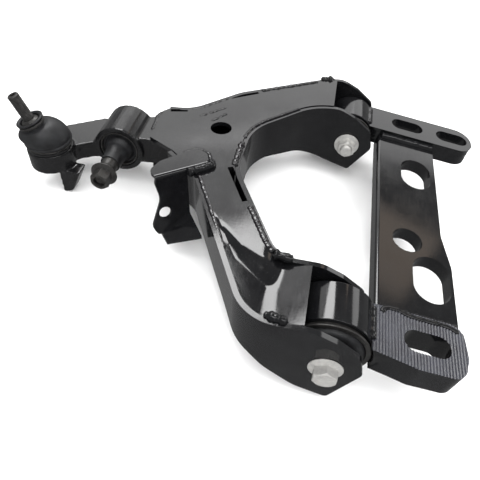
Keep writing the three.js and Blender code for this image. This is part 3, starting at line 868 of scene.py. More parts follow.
@dataclass(frozen=True)
class FrameBracket:
    """The plate and two feet that bolt to the vehicle's frame, with their welds."""

    edge: float = 1.6 * MM
    bend_edge: float = 4.0 * MM
    serration_pitch: float = 2.75 * MM
    serration_depth: float = 0.8 * MM
    layer_heights: tuple[float, ...] = (6.5 * MM, 13.0 * MM, 17.5 * MM)
    layer_width: float = 0.9 * MM
    layer_depth: float = 0.75 * MM
    rear_slot_half: float = 11.5 * MM
    rear_slot_end: float = 4.0 * MM

    def build(self, shop: Workshop) -> None:
        """Make the bracket's pieces.

        Args:
            shop: Makes the pieces.
        """
        self.make_plate(shop)
        self.make_rear_foot(shop)
        self.make_front_foot(shop)
        self.make_welds(shop)

    def make_plate(self, shop: Workshop) -> None:
        """Make the plate, with a wide radius along its inner top edge.

        Args:
            shop: Makes the pieces.
        """
        low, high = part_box("bracket_plate")
        mesh = solid_of("bracket_plate")
        near = 0.4 * MM

        def is_inner_top(edge: bmesh.types.BMEdge) -> bool:
            """Say whether an edge runs along the top of the plate's inner side."""
            return all(v.co.x < low.x + near and v.co.z > high.z - near for v in edge.verts)

        round_edges(mesh, self.bend_edge, 4, is_inner_top)
        round_edges(mesh, self.edge, 3)
        shop.piece("bracket_plate_pressed", mesh, Slot.GLOSS, Body.BRACKET, ["bracket_plate"])

    def make_rear_foot(self, shop: Workshop) -> None:
        """Make the rear foot, with the shear marks round its side.

        Args:
            shop: Makes the pieces.
        """
        low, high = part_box("rear_foot")
        middle = (low + high) / 2
        mesh = solid_of("rear_foot")
        for height in self.layer_heights:
            level = low.z + height
            slice_across(mesh, Vector((0, 0, 1)), level - self.layer_width, level + self.layer_width,
                         self.layer_width)
            mesh.normal_update()
            moves = []
            for vert in mesh.verts:
                on_line = abs(vert.co.z - level) < 0.01 * MM
                outside = (abs(vert.co.y - middle.y) > self.rear_slot_half
                           or vert.co.x > high.x - self.rear_slot_end)
                if on_line and outside:
                    moves.append((vert, vert.normal.copy()))
            for vert, normal in moves:
                uneven = 0.6 + 0.8 * noise.noise(vert.co * 60)
                vert.co -= Vector((normal.x, normal.y, 0)) * self.layer_depth * uneven
        top = [e for e in mesh.edges if all(v.co.z > high.z - 0.1 * MM for v in e.verts)]
        bottom = [e for e in mesh.edges if all(v.co.z < low.z + 0.1 * MM for v in e.verts)]
        ends = set(top) | set(bottom)
        round_edges(mesh, 1.1 * MM, 3, lambda edge: edge in ends)
        shop.piece("rear_foot_sheared", mesh, Slot.GLOSS, Body.BRACKET, ["rear_foot"])

    def make_front_foot(self, shop: Workshop) -> None:
        """Make the front foot, with the serrations machined across its top.

        Args:
            shop: Makes the pieces.
        """
        low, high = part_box("front_foot")
        mesh = solid_of("front_foot")

        def is_top(face: bmesh.types.BMFace) -> bool:
            """Say whether a face is part of the machined top."""
            return all(v.co.z > high.z - 0.9 * MM for v in face.verts) and abs(face.normal.z) > 0.5

        step = self.serration_pitch / 6
        slice_across(mesh, Vector((1, 0, 0)), low.x + step, high.x, step, is_top)
        for vert in mesh.verts:
            if vert.co.z > high.z - 0.1 * MM:
                wave = math.cos(math.tau * (vert.co.x - low.x) / self.serration_pitch)
                vert.co.z -= self.serration_depth * (1 - wave) / 2
        mesh.normal_update()
        for edge in mesh.edges:
            level = [abs(face.normal.z) > 0.4 for face in edge.link_faces]
            edge.smooth = all(level) or not any(level)
        slice_across(mesh, Vector((0, 0, 1)), high.z - 3 * MM, high.z - 2.9 * MM, 1.0)
        underside = {e for e in mesh.edges if all(v.co.z < low.z + 0.1 * MM for v in e.verts)}
        round_edges(mesh, 2.2 * MM, 3, lambda edge: edge in underside)
        piece = shop.piece("front_foot_serrated", mesh, Slot.PAD, Body.BRACKET, ["front_foot"])
        self.paint_sides(shop, piece, high.z - 2.0 * MM)

    def paint_sides(self, shop: Workshop, piece: bpy.types.Object, level: float) -> None:
        """Give the faces under the machined top the bracket's smooth paint.

        Args:
            shop: Holds the materials.
            piece: The foot.
            level: Faces whose middle is under this height are smooth.
        """
        piece.data.materials.append(shop.materials[Slot.GLOSS])
        for face in piece.data.polygons:
            # Index 0 keeps the top on the lighter pad paint with its painted sheen; the sides take the plain
            # gloss paint.
            face.material_index = 1 if face.center.z < level or abs(face.normal.z) < 0.3 else 0

    def make_welds(self, shop: Workshop) -> None:
        """Lay the beads that join the plate, the feet and the eyes.

        Args:
            shop: Makes the pieces.
        """
        plate_low, plate_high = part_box("bracket_plate")
        rear_low, rear_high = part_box("rear_foot")
        front_low, front_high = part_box("front_foot")
        broad = Bead(width=11 * MM, height=4.6 * MM, ripple=3.4 * MM, ripple_depth=0.25 * MM, lumpiness=0.16)
        under = Bead(width=7 * MM, height=2.4 * MM)
        inner, outer = plate_low.x + 3 * MM, plate_high.x - 2 * MM
        top, bottom = plate_high.z, plate_low.z
        lower = front_low.z + 3 * MM
        rear_y, front_y = plate_high.y - 1.5 * MM, plate_low.y + 1.5 * MM
        rear_crown, front_crown = Vector((0, -0.75, 0.66)), Vector((0, 0.75, 0.66))
        beads = {
            "rear_foot_weld": broad.along([Vector((inner, rear_y, top)),
                                           Vector((outer - 6 * MM, rear_y, top))], rear_crown, 1.0),
            "front_foot_weld": broad.along([Vector((inner, front_y, top)), Vector((outer, front_y, top))],
                                           front_crown, 2.0),
            "rear_foot_lower_weld": under.along([Vector((inner, rear_low.y, bottom)),
                                                 Vector((outer - 6 * MM, rear_low.y, bottom))],
                                                Vector((0, 0, -1)), 3.0),
            "front_foot_lower_weld": under.along([Vector((inner + 4 * MM, front_high.y, lower)),
                                                  Vector((outer, front_high.y, lower))],
                                                 Vector((0, 0.8, -0.6)), 4.0),
        }
        ridge = [(141.5, -139.5), (142.5, -134.5), (147, -132), (156, -131.8), (164, -134.6), (174, -135.6),
                 (190, -135), (204, -136), (212, -139)]
        ridge_path = [Vector((x * MM, y * MM, front_high.z - 1.0 * MM)) for x, y in ridge]
        smooth = Bead(width=5.6 * MM, height=1.9 * MM, ripple_depth=0.0, lumpiness=0.12)
        beads["front_foot_ridge"] = smooth.along(ridge_path, Vector((0, 0.2, 1)), 7.0)
        for name, bead in beads.items():
            shop.piece(name, bead, Slot.GLOSS, Body.BRACKET)
        feet = (("rear", rear_low, rear_high, 5.0), ("front", front_low, front_high, 6.0))
        for name, low, high, seed in feet:
            eye_low, eye_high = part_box(f"{name}_eye")
            radius = (eye_high.x - eye_low.x) / 2
            start, stop = eye_low.y + 3 * MM, eye_high.y - 3 * MM
            lines = []
            for level, crown_z in ((high.z, 1.0), (low.z, -1.0)):
                drop = level - PIVOT.z
                x = PIVOT.x + math.sqrt(radius * radius - drop * drop)
                crown = Vector((0.25, 0, crown_z)).normalized()
                lines.append(Bead(width=8 * MM, height=2.4 * MM, ripple_depth=0.0, lumpiness=0.15).along(
                    [Vector((x, start, level)), Vector((x, stop, level))], crown, seed + crown_z))
            shop.piece(f"{name}_eye_welds", merged(lines), Slot.GLOSS, Body.BRACKET)


# ---------------------------------------------------------------- pivot bushings

@dataclass(frozen=True)
class Bushing:
    """One pivot bushing: welded eye, pressed-in steel sleeve and bonded rubber."""

    prefix: str
    eye_wall: float = 4.2 * MM
    sleeve_wall: float = 1.8 * MM
    gap: float = 0.3 * MM
    bore: float = 11.3 * MM

    def build(self, shop: Workshop) -> None:
        """Make the bushing's pieces.

        Args:
            shop: Makes the pieces.
        """
        low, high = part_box(f"{self.prefix}_eye")
        centre = (low + high) / 2
        radius, half = (high.x - low.x) / 2, (high.y - low.y) / 2
        sleeve_low, sleeve_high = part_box(f"{self.prefix}_bushing_outer_sleeve")
        lip_radius = (sleeve_high.x - sleeve_low.x) / 2
        lip_front = sleeve_low.y - centre.y
        lip_back = lip_front + self.sleeve_wall
        outer = radius - self.eye_wall - self.gap
        inner = outer - self.sleeve_wall
        inside = radius - self.eye_wall
        rubber_low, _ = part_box(f"{self.prefix}_bushing_rubber")
        nose = rubber_low.y - centre.y
        back = half - 1 * MM

        eye = [(inside, -half), (radius, -half), (radius, half), (inside, half)]
        sleeve = [(inner, lip_front), (lip_radius, lip_front), (lip_radius, lip_back), (outer, lip_back),
                  (outer, back), (inner, back)]
        core = inner - self.gap
        rubber = [(self.bore, nose), (core * 0.62, nose), (core * 0.72, nose + 2.5 * MM),
                  (core * 0.86, nose + 3 * MM), (core - 1 * MM, nose + 5 * MM), (core, lip_front),
                  (core, back - 1 * MM), (core * 0.8, back - 4 * MM),
                  (core * 0.55, back - 3 * MM), (self.bore, back)]
        parts = (("eye", "eye_ring", eye, 1.0 * MM, Slot.GLOSS),
                 ("bushing_outer_sleeve", "bushing_shell", sleeve, 0.8 * MM, Slot.BLACK_STEEL),
                 ("bushing_rubber", "bushing_core", rubber, 2.0 * MM, Slot.RUBBER))
        for node, name, profile, soft, slot in parts:
            mesh = stand(turned(rounded(profile, soft), 96), centre, Vector((0, 1, 0)))
            shop.piece(f"{self.prefix}_{name}", mesh, slot, Body.BRACKET, [f"{self.prefix}_{node}"])
        shop.dress(f"{self.prefix}_bushing_inner_sleeve", Slot.BARE_STEEL)


@dataclass(frozen=True)
class PivotFastener:
    """A flange bolt and nut through one bushing."""

    prefix: str
    head_at_front: bool
    radius: float = 7.0 * MM
    thread_length: float = 15.0 * MM
    pitch: float = 1.5 * MM
    edge: float = 0.35 * MM

    def build(self, shop: Workshop) -> None:
        """Make the bolt, with its threaded end, and the nut.

        Args:
            shop: Makes the pieces.
        """
        bolt, nut = f"{self.prefix}_pivot_bolt", f"{self.prefix}_pivot_nut"
        low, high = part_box(bolt)
        towards = Vector((0, 1, 0)) if self.head_at_front else Vector((0, -1, 0))
        tip = Vector((PIVOT.x, high.y if self.head_at_front else low.y, PIVOT.z))
        start = tip - towards * self.thread_length
        mesh = solid_of(bolt)
        faces = bmesh.ops.bisect_plane(mesh, geom=[*mesh.verts, *mesh.edges, *mesh.faces], plane_co=start,
                                       plane_no=towards, clear_outer=True)
        rim = [item for item in faces["geom_cut"] if isinstance(item, bmesh.types.BMEdge)]
        bmesh.ops.edgeloop_fill(mesh, edges=rim)
        round_edges(mesh, self.edge, 2)
        length = self.thread_length
        profile = [(0.0, 0.0), (self.radius, 0.0), (self.radius, length - 1.4 * MM),
                   (self.radius - 1.2 * MM, length), (0.0, length)]
        thread = Thread(0.5 * MM, length - 1.4 * MM, self.pitch, 0.7 * MM)
        end = stand(turned(profile, 48, thread), start, towards)
        shop.piece(f"{self.prefix}_flange_bolt", merged([mesh, end]), Slot.ZINC, Body.ARM, [bolt])
        nut_mesh = solid_of(nut)
        round_edges(nut_mesh, self.edge, 2)
        shop.piece(f"{self.prefix}_flange_nut", nut_mesh, Slot.ZINC, Body.ARM, [nut])


# ---------------------------------------------------------------- welded arm box

@dataclass(frozen=True)
class ArmBox:
    """The arm's box of welded sheet: deck, floor, three side plates and their seams."""

    deck: float = 48.5
    sheet: float = 5.0
    pocket_start: float = -139.0
    pocket_side: float = -70.0
    pocket_slope: float = 0.088
    pocket_rim: tuple[tuple[float, float], ...] = (
        (-139, -77), (-111, -104), (-89, -124), (-61, -139), (0, -146))
    rim_width: float = 3.0
    rim_growth: float = 0.24
    mouth: float = -68.0
    mouth_length: float = 22.0
    pocket_length: float = 125.0
    pocket_breadth: float = 135.0
    slice_step: float = 2.5
    valley: float = 2.5
    end_slope: float = 0.24
    deck_end: float = -24.3
    edge: float = 0.9 * MM

    def build(self, shop: Workshop) -> None:
        """Make the box.

        Args:
            shop: Makes the pieces.
        """
        outline = self.deck_outline()
        self.make_deck(shop)
        floor = solid_of("arm_bottom_plate")
        round_edges(floor, self.edge, 2)
        shop.piece("arm_floor", floor, Slot.GLOSS, Body.ARM, ["arm_bottom_plate"])
        for side in ("front", "inner", "rear"):
            mesh = solid_of(f"arm_{side}_side_plate")
            round_edges(mesh, 1.1 * MM, 3)
            shop.piece(f"arm_{side}_wall", mesh, Slot.GLOSS, Body.ARM, [f"arm_{side}_side_plate"])
        self.make_seams(shop, outline)

    def sink(self, reach: float, across: float) -> float:
        """Return how far the deck is pressed down at a place, in the arm's millimetres.

        Args:
            reach: The place's distance from the pivot axis.
            across: Its distance along the pivot axis from the middle.

        Returns:
            The depth, 0 outside the pocket.
        """
        deep = self.pocket_slope * (reach - self.pocket_start)
        if deep <= 0 or across > self.pocket_side:
            return 0.0
        rim = interpolated(self.pocket_rim, reach)
        run = self.rim_width + self.rim_growth * (reach - self.pocket_start)
        beside = 1 - eased((rim - across) / run)
        beyond = 1 - eased((reach - self.mouth) / self.mouth_length)
        pocket = deep * (1 - beside * beyond)
        rise = self.end_slope * (self.deck_end - reach)
        blend = max(0.0, self.valley - abs(pocket - rise)) / self.valley
        return min(pocket, rise) - blend * blend * self.valley / 4

    def pressed(self, place: Vector) -> Vector:
        """Return where the pressing moves a place on the deck."""
        reach, across, _ = ARM.plan(place)
        return place - ARM.up() * self.sink(reach, across) * MM

    def make_deck(self, shop: Workshop) -> None:
        """Make the deck: notched where its seam is open, and pressed down towards the front bushing.

        Args:
            shop: Makes the pieces.
        """
        up = ARM.up()
        notches = [((-122, -23), (-97, -70), 6.0), ((-107, -135), (-92, -160), 5.0),
                   ((-149, 107), (-119, 127), 6.0), ((-211, 61), (-192, 66), 5.0)]
        cutters = []
        for start, end, width in notches:
            a, b = ARM.point(*start, self.deck), ARM.point(*end, self.deck)
            cutters.append(block((a + b) / 2, b - a, up, ((b - a).length, width * MM, 3 * self.sheet * MM)))
        mesh = carved(solid_of("arm_top_plate"), cutters)
        bmesh.ops.remove_doubles(mesh, verts=mesh.verts, dist=0.01 * MM)
        bmesh.ops.dissolve_limit(mesh, angle_limit=math.radians(0.6), verts=mesh.verts, edges=mesh.edges)
        round_edges(mesh, 1.3 * MM, 2)
        along = (ARM.point(1, 0, 0) - ARM.point(0, 0, 0)).normalized()

        def in_pocket(face: bmesh.types.BMFace) -> bool:
            """Say whether a face reaches into the pressed part of the deck."""
            return min(ARM.plan(v.co)[1] for v in face.verts) < self.pocket_side

        first = along.dot(ARM.point(self.pocket_start, 0, self.deck))
        step = self.slice_step * MM
        slice_across(mesh, along, first, first + self.pocket_length * MM, step, in_pocket)
        edge = ARM.point(0, self.pocket_side, 0).y
        slice_across(mesh, Vector((0, 1, 0)), edge - self.pocket_breadth * MM, edge, step, in_pocket)
        for vert in mesh.verts:
            vert.co = self.pressed(vert.co)
        shop.piece("arm_deck", mesh, Slot.GLOSS, Body.ARM, ["arm_top_plate"])

    def deck_outline(self) -> list[Vector]:
        """Return the corners of the deck's top face in order.

        Returns:
            The corners, one after another round the face.
        """
        mesh = solid_of("arm_top_plate")
        mesh.normal_update()
        up = ARM.up()
        rim = []
        for edge in mesh.edges:
            tops = [face for face in edge.link_faces if face.normal.dot(up) > 0.9]
            if len(tops) == 1:
                rim.append(edge)
        loops: list[list[Vector]] = []
        left = set(rim)
        while left:
            edge = left.pop()
            loop = [edge.verts[0], edge.verts[1]]
            while True:
                onward = next((e for e in loop[-1].link_edges if e in left), None)
                if onward is None:
                    break
                left.discard(onward)
                loop.append(onward.other_vert(loop[-1]))
            loops.append([v.co.copy() for v in loop])
        mesh.free()
        return max(loops, key=len)

    def seam(self, outline: Sequence[Vector], start: tuple[float, float],
             end: tuple[float, float]) -> list[Vector]:
        """Return the stretch of the deck's edge between two places.

        Args:
            outline: The deck's edge.
            start: Where it starts, in the arm's millimetres.
            end: Where it ends.

        Returns:
            The points from start to end, the shorter way round.
        """
        closed = resampled([*outline, outline[0]], 1.5 * MM)[:-1]

        def nearest(place: tuple[float, float]) -> int:
            """Return the index of the edge point nearest to a place."""
            target = ARM.point(*place, self.deck)
            return min(range(len(closed)), key=lambda i: (closed[i] - target).length)

        a, b, count = nearest(start), nearest(end), len(closed)
        forward = (b - a) % count
        if forward <= count / 2:
            return [closed[(a + i) % count] for i in range(forward + 1)]
        return [closed[(a - i) % count] for i in range(count - forward + 1)]

    def make_seams(self, shop: Workshop, outline: Sequence[Vector]) -> None:
        """Lay the beads along the deck's edges.

        Args:
            shop: Makes the pieces.
            outline: The deck's edge.
        """
        up = ARM.up()
        slim = Bead(width=4.6 * MM, height=1.2 * MM, ripple=4 * MM, ripple_depth=0.08 * MM)
        proud = Bead(width=7.0 * MM, height=2.0 * MM, ripple=4 * MM, lumpiness=0.45)
        stretches = {
            "throat_seam_rear": (slim, (-60, 102), (-113, 30)),
            "throat_seam_middle": (proud, (-114, 24), (-116, -19)),
            "throat_seam_front": (proud, (-88, -74), (-58, -126)),
            "front_seam_outer": (slim, (-168, -38), (-114, -136)),
            "front_seam_inner": (slim, (-95, -168), (-62, -193)),
            "rear_seam_outer": (slim, (-190, 72), (-155, 108)),
            "rear_seam_inner": (proud, (-118, 134), (-52, 178)),
            "neck_seam": (slim, (-219, 20), (-219, 56)),
        }
        for seed, (name, (bead, start, end)) in enumerate(stretches.items()):
            edge = self.seam(outline, start, end)
            path = [p - up * (0.8 + 0.6 * self.sink(*ARM.plan(p)[:2])) * MM for p in edge]
            shop.piece(name, bead.along(path, up, seed + 10.0), Slot.GLOSS, Body.ARM)
        lump = Bead(width=9 * MM, height=3.6 * MM, ripple=4 * MM, ripple_depth=0.6 * MM, lumpiness=0.7)
        ends = [
            ("front_ear_lump", (-58, -194), (-38, -197)),
            ("throat_ear_lump", (-60, -130), (-42, -132)),
            ("rear_ear_lump", (-46, 181), (-28, 184)),
            ("deck_scar", (-176, 58), (-149, 84)),
            ("deck_scar_short", (-160, 52), (-146, 72)),
        ]
        for seed, (name, start, end) in enumerate(ends):
            path = [ARM.point(*p, self.deck) - up * 0.8 * MM for p in (start, end)]
            bead = lump if "lump" in name else Bead(width=4.5 * MM, height=1.3 * MM, lumpiness=0.6)
            shop.piece(name, bead.along(path, up, seed + 30.0), Slot.GLOSS, Body.ARM)


# ---------------------------------------------------------------- outer forging and link bracket

@dataclass(frozen=True)
class OuterForging:
    """The forging at the arm's outer end, with the soft blends that a die leaves."""

    grain: float = 1.15 * MM
    smoothing: int = 5

    def build(self, shop: Workshop) -> None:
        """Make the forging.

        Args:
            shop: Makes the pieces.
        """
        data = bpy.data.meshes.new("billet")
        mesh = solid_of("outer_casting")
        mesh.to_mesh(data)
        mesh.free()
        billet = bpy.data.objects.new("billet", data)
        bpy.context.scene.collection.objects.link(billet)
        remesh = billet.modifiers.new("grain", "REMESH")
        remesh.mode = "VOXEL"
        remesh.voxel_size = self.grain
        remesh.adaptivity = 0.0
        soften = billet.modifiers.new("blends", "SMOOTH")
        soften.factor = 0.5
        soften.iterations = self.smoothing
        result = bmesh.new()
        result.from_object(billet, bpy.context.evaluated_depsgraph_get())
        bpy.data.objects.remove(billet)
        bpy.data.meshes.remove(data)
        shop.piece("outer_forging", result, Slot.SATIN, Body.ARM, ["outer_casting"])


@dataclass(frozen=True)
class LinkBracket:
    """The folded sheet bracket on the front of the arm, with its welds."""

    edge: float = 1.0 * MM
    fold_edge: float = 4.0 * MM
    flange_height: float = 52.8
    weld_drop: float = 3.2
    front_root: tuple[tuple[float, float], ...] = ((-162, -45), (-147, -33.5), (-141, -27), (-143, -21))
    back_root: tuple[tuple[float, float], ...] = (
        (-143.5, -20), (-147.5, -10), (-155, -5.5), (-163, -5), (-174, -15))

    def build(self, shop: Workshop) -> None:
        """Make the bracket.

        Args:
            shop: Makes the pieces.
        """
        mesh = solid_of("link_bracket")
        fold = (ARM.point(0.8, 0.6, 0) - ARM.point(0, 0, 0)).normalized()

        def is_fold(edge: bmesh.types.BMEdge) -> bool:
            """Say whether an edge runs along the outside of the fold.

            Args:
                edge: The edge.

            Returns:
                True for the fold's outer edge.
            """
            first, second = (v.co for v in edge.verts)
            along = abs((second - first).normalized().dot(fold))
            tops = [face for face in edge.link_faces if face.normal.dot(ARM.up()) > 0.9]
            return along > 0.995 and len(tops) == 1 and (second - first).length > 20 * MM

        round_edges(mesh, self.fold_edge, 5, is_fold)
        round_edges(mesh, self.edge, 3)
        shop.piece("link_bracket_folded", mesh, Slot.GLOSS, Body.ARM, ["link_bracket"])
        up = ARM.up()
        root = self.flange_height - self.weld_drop
        heavy = Bead(width=9.5 * MM, height=4.8 * MM, ripple=3.2 * MM, ripple_depth=0.7 * MM, lumpiness=0.4)
        light = Bead(width=5 * MM, height=2.2 * MM)
        front = [ARM.point(*place, root) for place in self.front_root]
        back = [ARM.point(*place, root) for place in self.back_root]
        shop.piece("link_bracket_front_weld", heavy.along(front, up, 41.0), Slot.GLOSS, Body.ARM)
        shop.piece("link_bracket_back_weld", light.along(back, up, 42.0), Slot.GLOSS, Body.ARM)


# ---------------------------------------------------------------- damper mount

@dataclass(frozen=True)
class DamperMount:
    """The bonded bushing, pin and nut that the damper is fastened to."""

    pin_radius: float = 9.3 * MM
    thread_radius: float = 6.0 * MM
    wall: float = 1.8 * MM
    gap: float = 0.3 * MM

    def build(self, shop: Workshop) -> None:
        """Make the mount.

        Args:
            shop: Makes the pieces.
        """
        axis = Vector((0, 1, 0))
        low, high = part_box("damper_bushing_sleeve")
        outer, half = (high.x - low.x) / 2, (high.y - low.y) / 2
        inner = outer - self.wall
        centre = (low + high) / 2
        sleeve = rounded([(inner, -half), (outer, -half), (outer, half), (inner, half)], 0.7 * MM)
        shop.piece("damper_sleeve", stand(turned(sleeve, 80), centre, axis), Slot.BLACK_STEEL, Body.ARM,
                   ["damper_bushing_sleeve"])
        core = inner - self.gap
        bore = self.pin_radius + self.gap
        dish = [(bore, -half - 27 * MM), (bore + 1.1 * MM, -half - 27 * MM),
                (bore + 1.4 * MM, -half - 16 * MM), (bore + 3.0 * MM, -half - 5 * MM),
                (bore + 5.5 * MM, -half - 0.5 * MM), (core * 0.82, -half + 3 * MM),
                (core * 0.9, -half + 4.5 * MM), (core, -half + 3 * MM), (core, half - 3 * MM),
                (core * 0.75, half - 6 * MM), (bore, half - 1 * MM)]
        rubber = stand(turned(rounded(dish, 1.5 * MM), 80), centre, axis)
        shop.piece("damper_rubber", rubber, Slot.RUBBER, Body.ARM, ["damper_bushing_rubber"])
        self.make_pin(shop)
        nut = solid_of("damper_nut")
        round_edges(nut, 0.4 * MM, 2)
        shop.piece("damper_flange_nut", nut, Slot.BLACK_STEEL, Body.PIN, ["damper_nut"])

    def make_pin(self, shop: Workshop) -> None:
        """Make the pin, with a step behind the nut and a threaded end.

        Args:
            shop: Makes the pieces.
        """
        low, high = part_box("damper_pin")
        _, nut_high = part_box("damper_nut")
        length = high.y - low.y
        shoulder = high.y - nut_high.y - self.gap
        groove = shoulder - 7 * MM
        radius = self.pin_radius
        profile = [(0.0, 0.0), (radius - 1 * MM, 0.0), (radius, 1 * MM), (radius, groove),
                   (radius - 0.9 * MM, groove + 0.6 * MM), (radius - 0.9 * MM, groove + 1.4 * MM),
                   (radius - 0.1 * MM, groove + 2 * MM), (radius - 0.1 * MM, shoulder - 0.8 * MM),
                   (radius - 0.9 * MM, shoulder), (self.thread_radius, shoulder),
                   (self.thread_radius, length - 1 * MM), (self.thread_radius - 1 * MM, length),
                   (2.6 * MM, length), (2.2 * MM, length - 1.6 * MM), (0.0, length - 1.6 * MM)]
        thread = Thread(shoulder + 0.4 * MM, length - 1 * MM, 1.5 * MM, 0.7 * MM)
        start = Vector((DAMPER.x, high.y, DAMPER.z))
        mesh = stand(turned(profile, 64, thread), start, Vector((0, -1, 0)))
        shop.piece("damper_threaded_pin", mesh, Slot.BLACK_STEEL, Body.PIN, ["damper_pin"])


# ---------------------------------------------------------------- ball joint

@dataclass(frozen=True)
class BallJoint:
    """The ball joint, with heights in millimetres from the ball's centre."""

    rim: float = 23.5
    shoulder: float = 18.7
    top: float = 13.0
    bottom: float = -15.0
    collar: float = 9.5
    thread_radius: float = 6.0
    thread_start: float = 46.2
    thread_pitch: float = 1.75
    thread_depth: float = 0.95
    ball: float = 12.0
    cavity: float = 15.0
    key_flats: float = 5.0
    tip: float = 73.7
    boot_split: float = 27.0
    boot_low: float = 17.0
    boot_high: float = 37.5
    boot_end: float = 33.5

    def build(self, shop: Workshop) -> None:
        """Make the ball joint.

        Args:
            shop: Makes the pieces.
        """
        self.make_housing(shop)
        self.make_boot(shop)
        self.make_stud(shop)
        shop.dress("ball_seat", Slot.ACETAL)

    def scaled(self, profile: Profile) -> list[tuple[float, float]]:
        """Return a profile in metres."""
        return [(r * MM, h * MM) for r, h in profile]

    def make_housing(self, shop: Workshop) -> None:
        """Make the housing with its crimped rim, the cap under the ball and the boot's lower clamp.

        Args:
            shop: Makes the pieces.
        """
        axis = ARM.up()
        housing = [(self.cavity, self.bottom), (self.cavity, 0), (14.2, 5), (11.8, 9.2), (16, self.top),
                   (self.rim - 0.8, self.top), (self.rim, self.top - 0.8), (self.rim, self.top - 2.6),
                   (self.rim - 0.5, self.top - 3), (self.shoulder, self.top - 3),
                   (self.shoulder, self.bottom + 1.2), (self.shoulder - 1.2, self.bottom),
                   (self.cavity + 1.4, self.bottom - 0.6)]
        mesh = turned(rounded(self.scaled(housing), 0.4 * MM, 2), 80)
        shop.piece("ball_joint_body", stand(mesh, BALL, axis), Slot.SATIN, Body.ARM, ["ball_joint_housing"])
        cap = [(0, -12.3), (14.7, -12.3), (14.7, -14.4), (13.6, -14.9), (11, -15.2), (9.6, -16.6), (0, -17)]
        mesh = turned(self.scaled(cap), 80)
        shop.piece("ball_joint_closing_cap", stand(mesh, BALL, axis), Slot.BLACK_STEEL, Body.ARM,
                   ["ball_joint_cap"])
        coils = [self.ring(self.rim - 0.1, self.top + 1.45 + 1.05 * i, 0.55) for i in range(2)]
        shop.piece("boot_lower_clamp", stand(merged(coils), BALL, axis), Slot.BLACK_STEEL, Body.ARM,
                   ["boot_lower_ring"])

    def ring(self, radius: float, height: float, thickness: float) -> bmesh.types.BMesh:
        """Make a wire ring round the axis.

        Args:
            radius: The ring's radius.
            height: Its height.
            thickness: The wire's radius.

        Returns:
            The ring.
        """
        section = [(radius + thickness * math.cos(a), height + thickness * math.sin(a))
                   for a in (math.tau * k / 12 for k in range(12))]
        return turned(self.scaled(section), 96)

    def lean(self, place: Vector) -> Vector:
        """Return where a place on the upright boot goes when the boot leans with the stud.

        Args:
            place: The place, from the ball's centre.

        Returns:
            The place on the leaning boot.
        """
        span = (self.boot_high - self.boot_low) * MM
        share = eased((place.z - self.boot_low * MM) / span)
        upright = Vector((0, 0, 1)).rotation_difference(ARM.up())
        leaning = ARM.up().rotation_difference(STUD_AXIS)
        turn = Quaternion().slerp(leaning, share) @ upright
        return BALL + turn @ place

    def shell(self, outside: Profile, inside: Profile, low_end: bool, high_end: bool) -> bmesh.types.BMesh:
        """Turn a band of the boot, open where it meets the next band.

        Args:
            outside: The outer profile, from low to high.
            inside: The inner profile, from low to high.
            low_end: Close the lower end.
            high_end: Close the upper end.

        Returns:
            The band, leaning with the stud.
        """
        segments = 80
        mesh = bmesh.new()
        walls = []
        for profile in (outside, inside):
            rings = [[mesh.verts.new((r * MM * math.cos(math.tau * k / segments),
                                      r * MM * math.sin(math.tau * k / segments), h * MM))
                      for k in range(segments)] for r, h in profile]
            walls.append(rings)
        strips = [*zip(walls[0], walls[0][1:]), *zip(walls[1][1:], walls[1])]
        if low_end:
            strips.append((walls[1][0], walls[0][0]))
        if high_end:
            strips.append((walls[0][-1], walls[1][-1]))
        for low, high in strips:
            for k in range(segments):
                n = (k + 1) % segments
                mesh.faces.new((low[k], low[n], high[n], high[k]))
        for vert in mesh.verts:
            vert.co = self.lean(vert.co)
        return mesh

    def make_boot(self, shop: Workshop) -> None:
        """Make the dust boot in two bands that lean with the stud, and its upper clamp.

        Args:
            shop: Makes the pieces.
        """
        foot = [(22.4, 13.3), (22.4, 15.9), (23.4, 16.6), (24.7, 16.9), (25.0, 17.7), (24.8, 18.6),
                (24.0, 19.2), (23.9, 19.8), (24.5, 20.6)]
        dome = [(24.5 - 12.2 * (1 - math.cos(a)) ** 1.15, 20.6 + 15.6 * math.sin(a) ** 1.05)
                for a in (math.pi / 2 * k / 22 for k in range(1, 22))]
        throat = [(12.6, 36.6), (11.9, 37.4), (11.6, 38.4), (11.6, 41.0), (13.2, 41.9), (14.6, 43.2),
                  (14.7, 44.2), (13.9, 44.8)]
        outside = [*foot, *dome, *throat]
        inside = [(max(9.8, r - 1.8), max(13.3, h - 1.2)) for r, h in outside]
        inside[0] = (16.5, 13.3)
        inside[-3:] = [(10.2, 43.2), (11.4, 44.4), (13.0, 44.9)]
        split = next(i for i, (_, h) in enumerate(outside) if h > self.boot_split)
        lower = self.shell(outside[:split + 1], inside[:split + 1], True, False)
        upper = self.shell(outside[split:], inside[split:], False, True)
        middle = self.lean(Vector((0, 0, outside[split][1] * MM)))
        start = self.lean(Vector((0, 0, self.boot_low * MM)))
        end = self.lean(Vector((0, 0, self.boot_end * MM)))
        low_piece = shop.piece("dust_boot_lower", lower, Slot.RUBBER, None, ["dust_boot"])
        high_piece = shop.piece("dust_boot_upper", upper, Slot.RUBBER, None, ["dust_boot"])
        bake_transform(low_piece)
        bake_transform(high_piece)
        band = [(12.1, 38.6), (13.7, 38.2), (14.2, 39.2), (14.2, 40.6), (13.7, 41.6), (12.1, 41.4)]
        mesh = turned(rounded(self.scaled(band), 0.5 * MM, 2), 80)
        shop.piece("boot_upper_clamp", stand(mesh, BALL, STUD_AXIS), Slot.BLACK_STEEL, Body.COLLAR,
                   ["boot_upper_ring"])

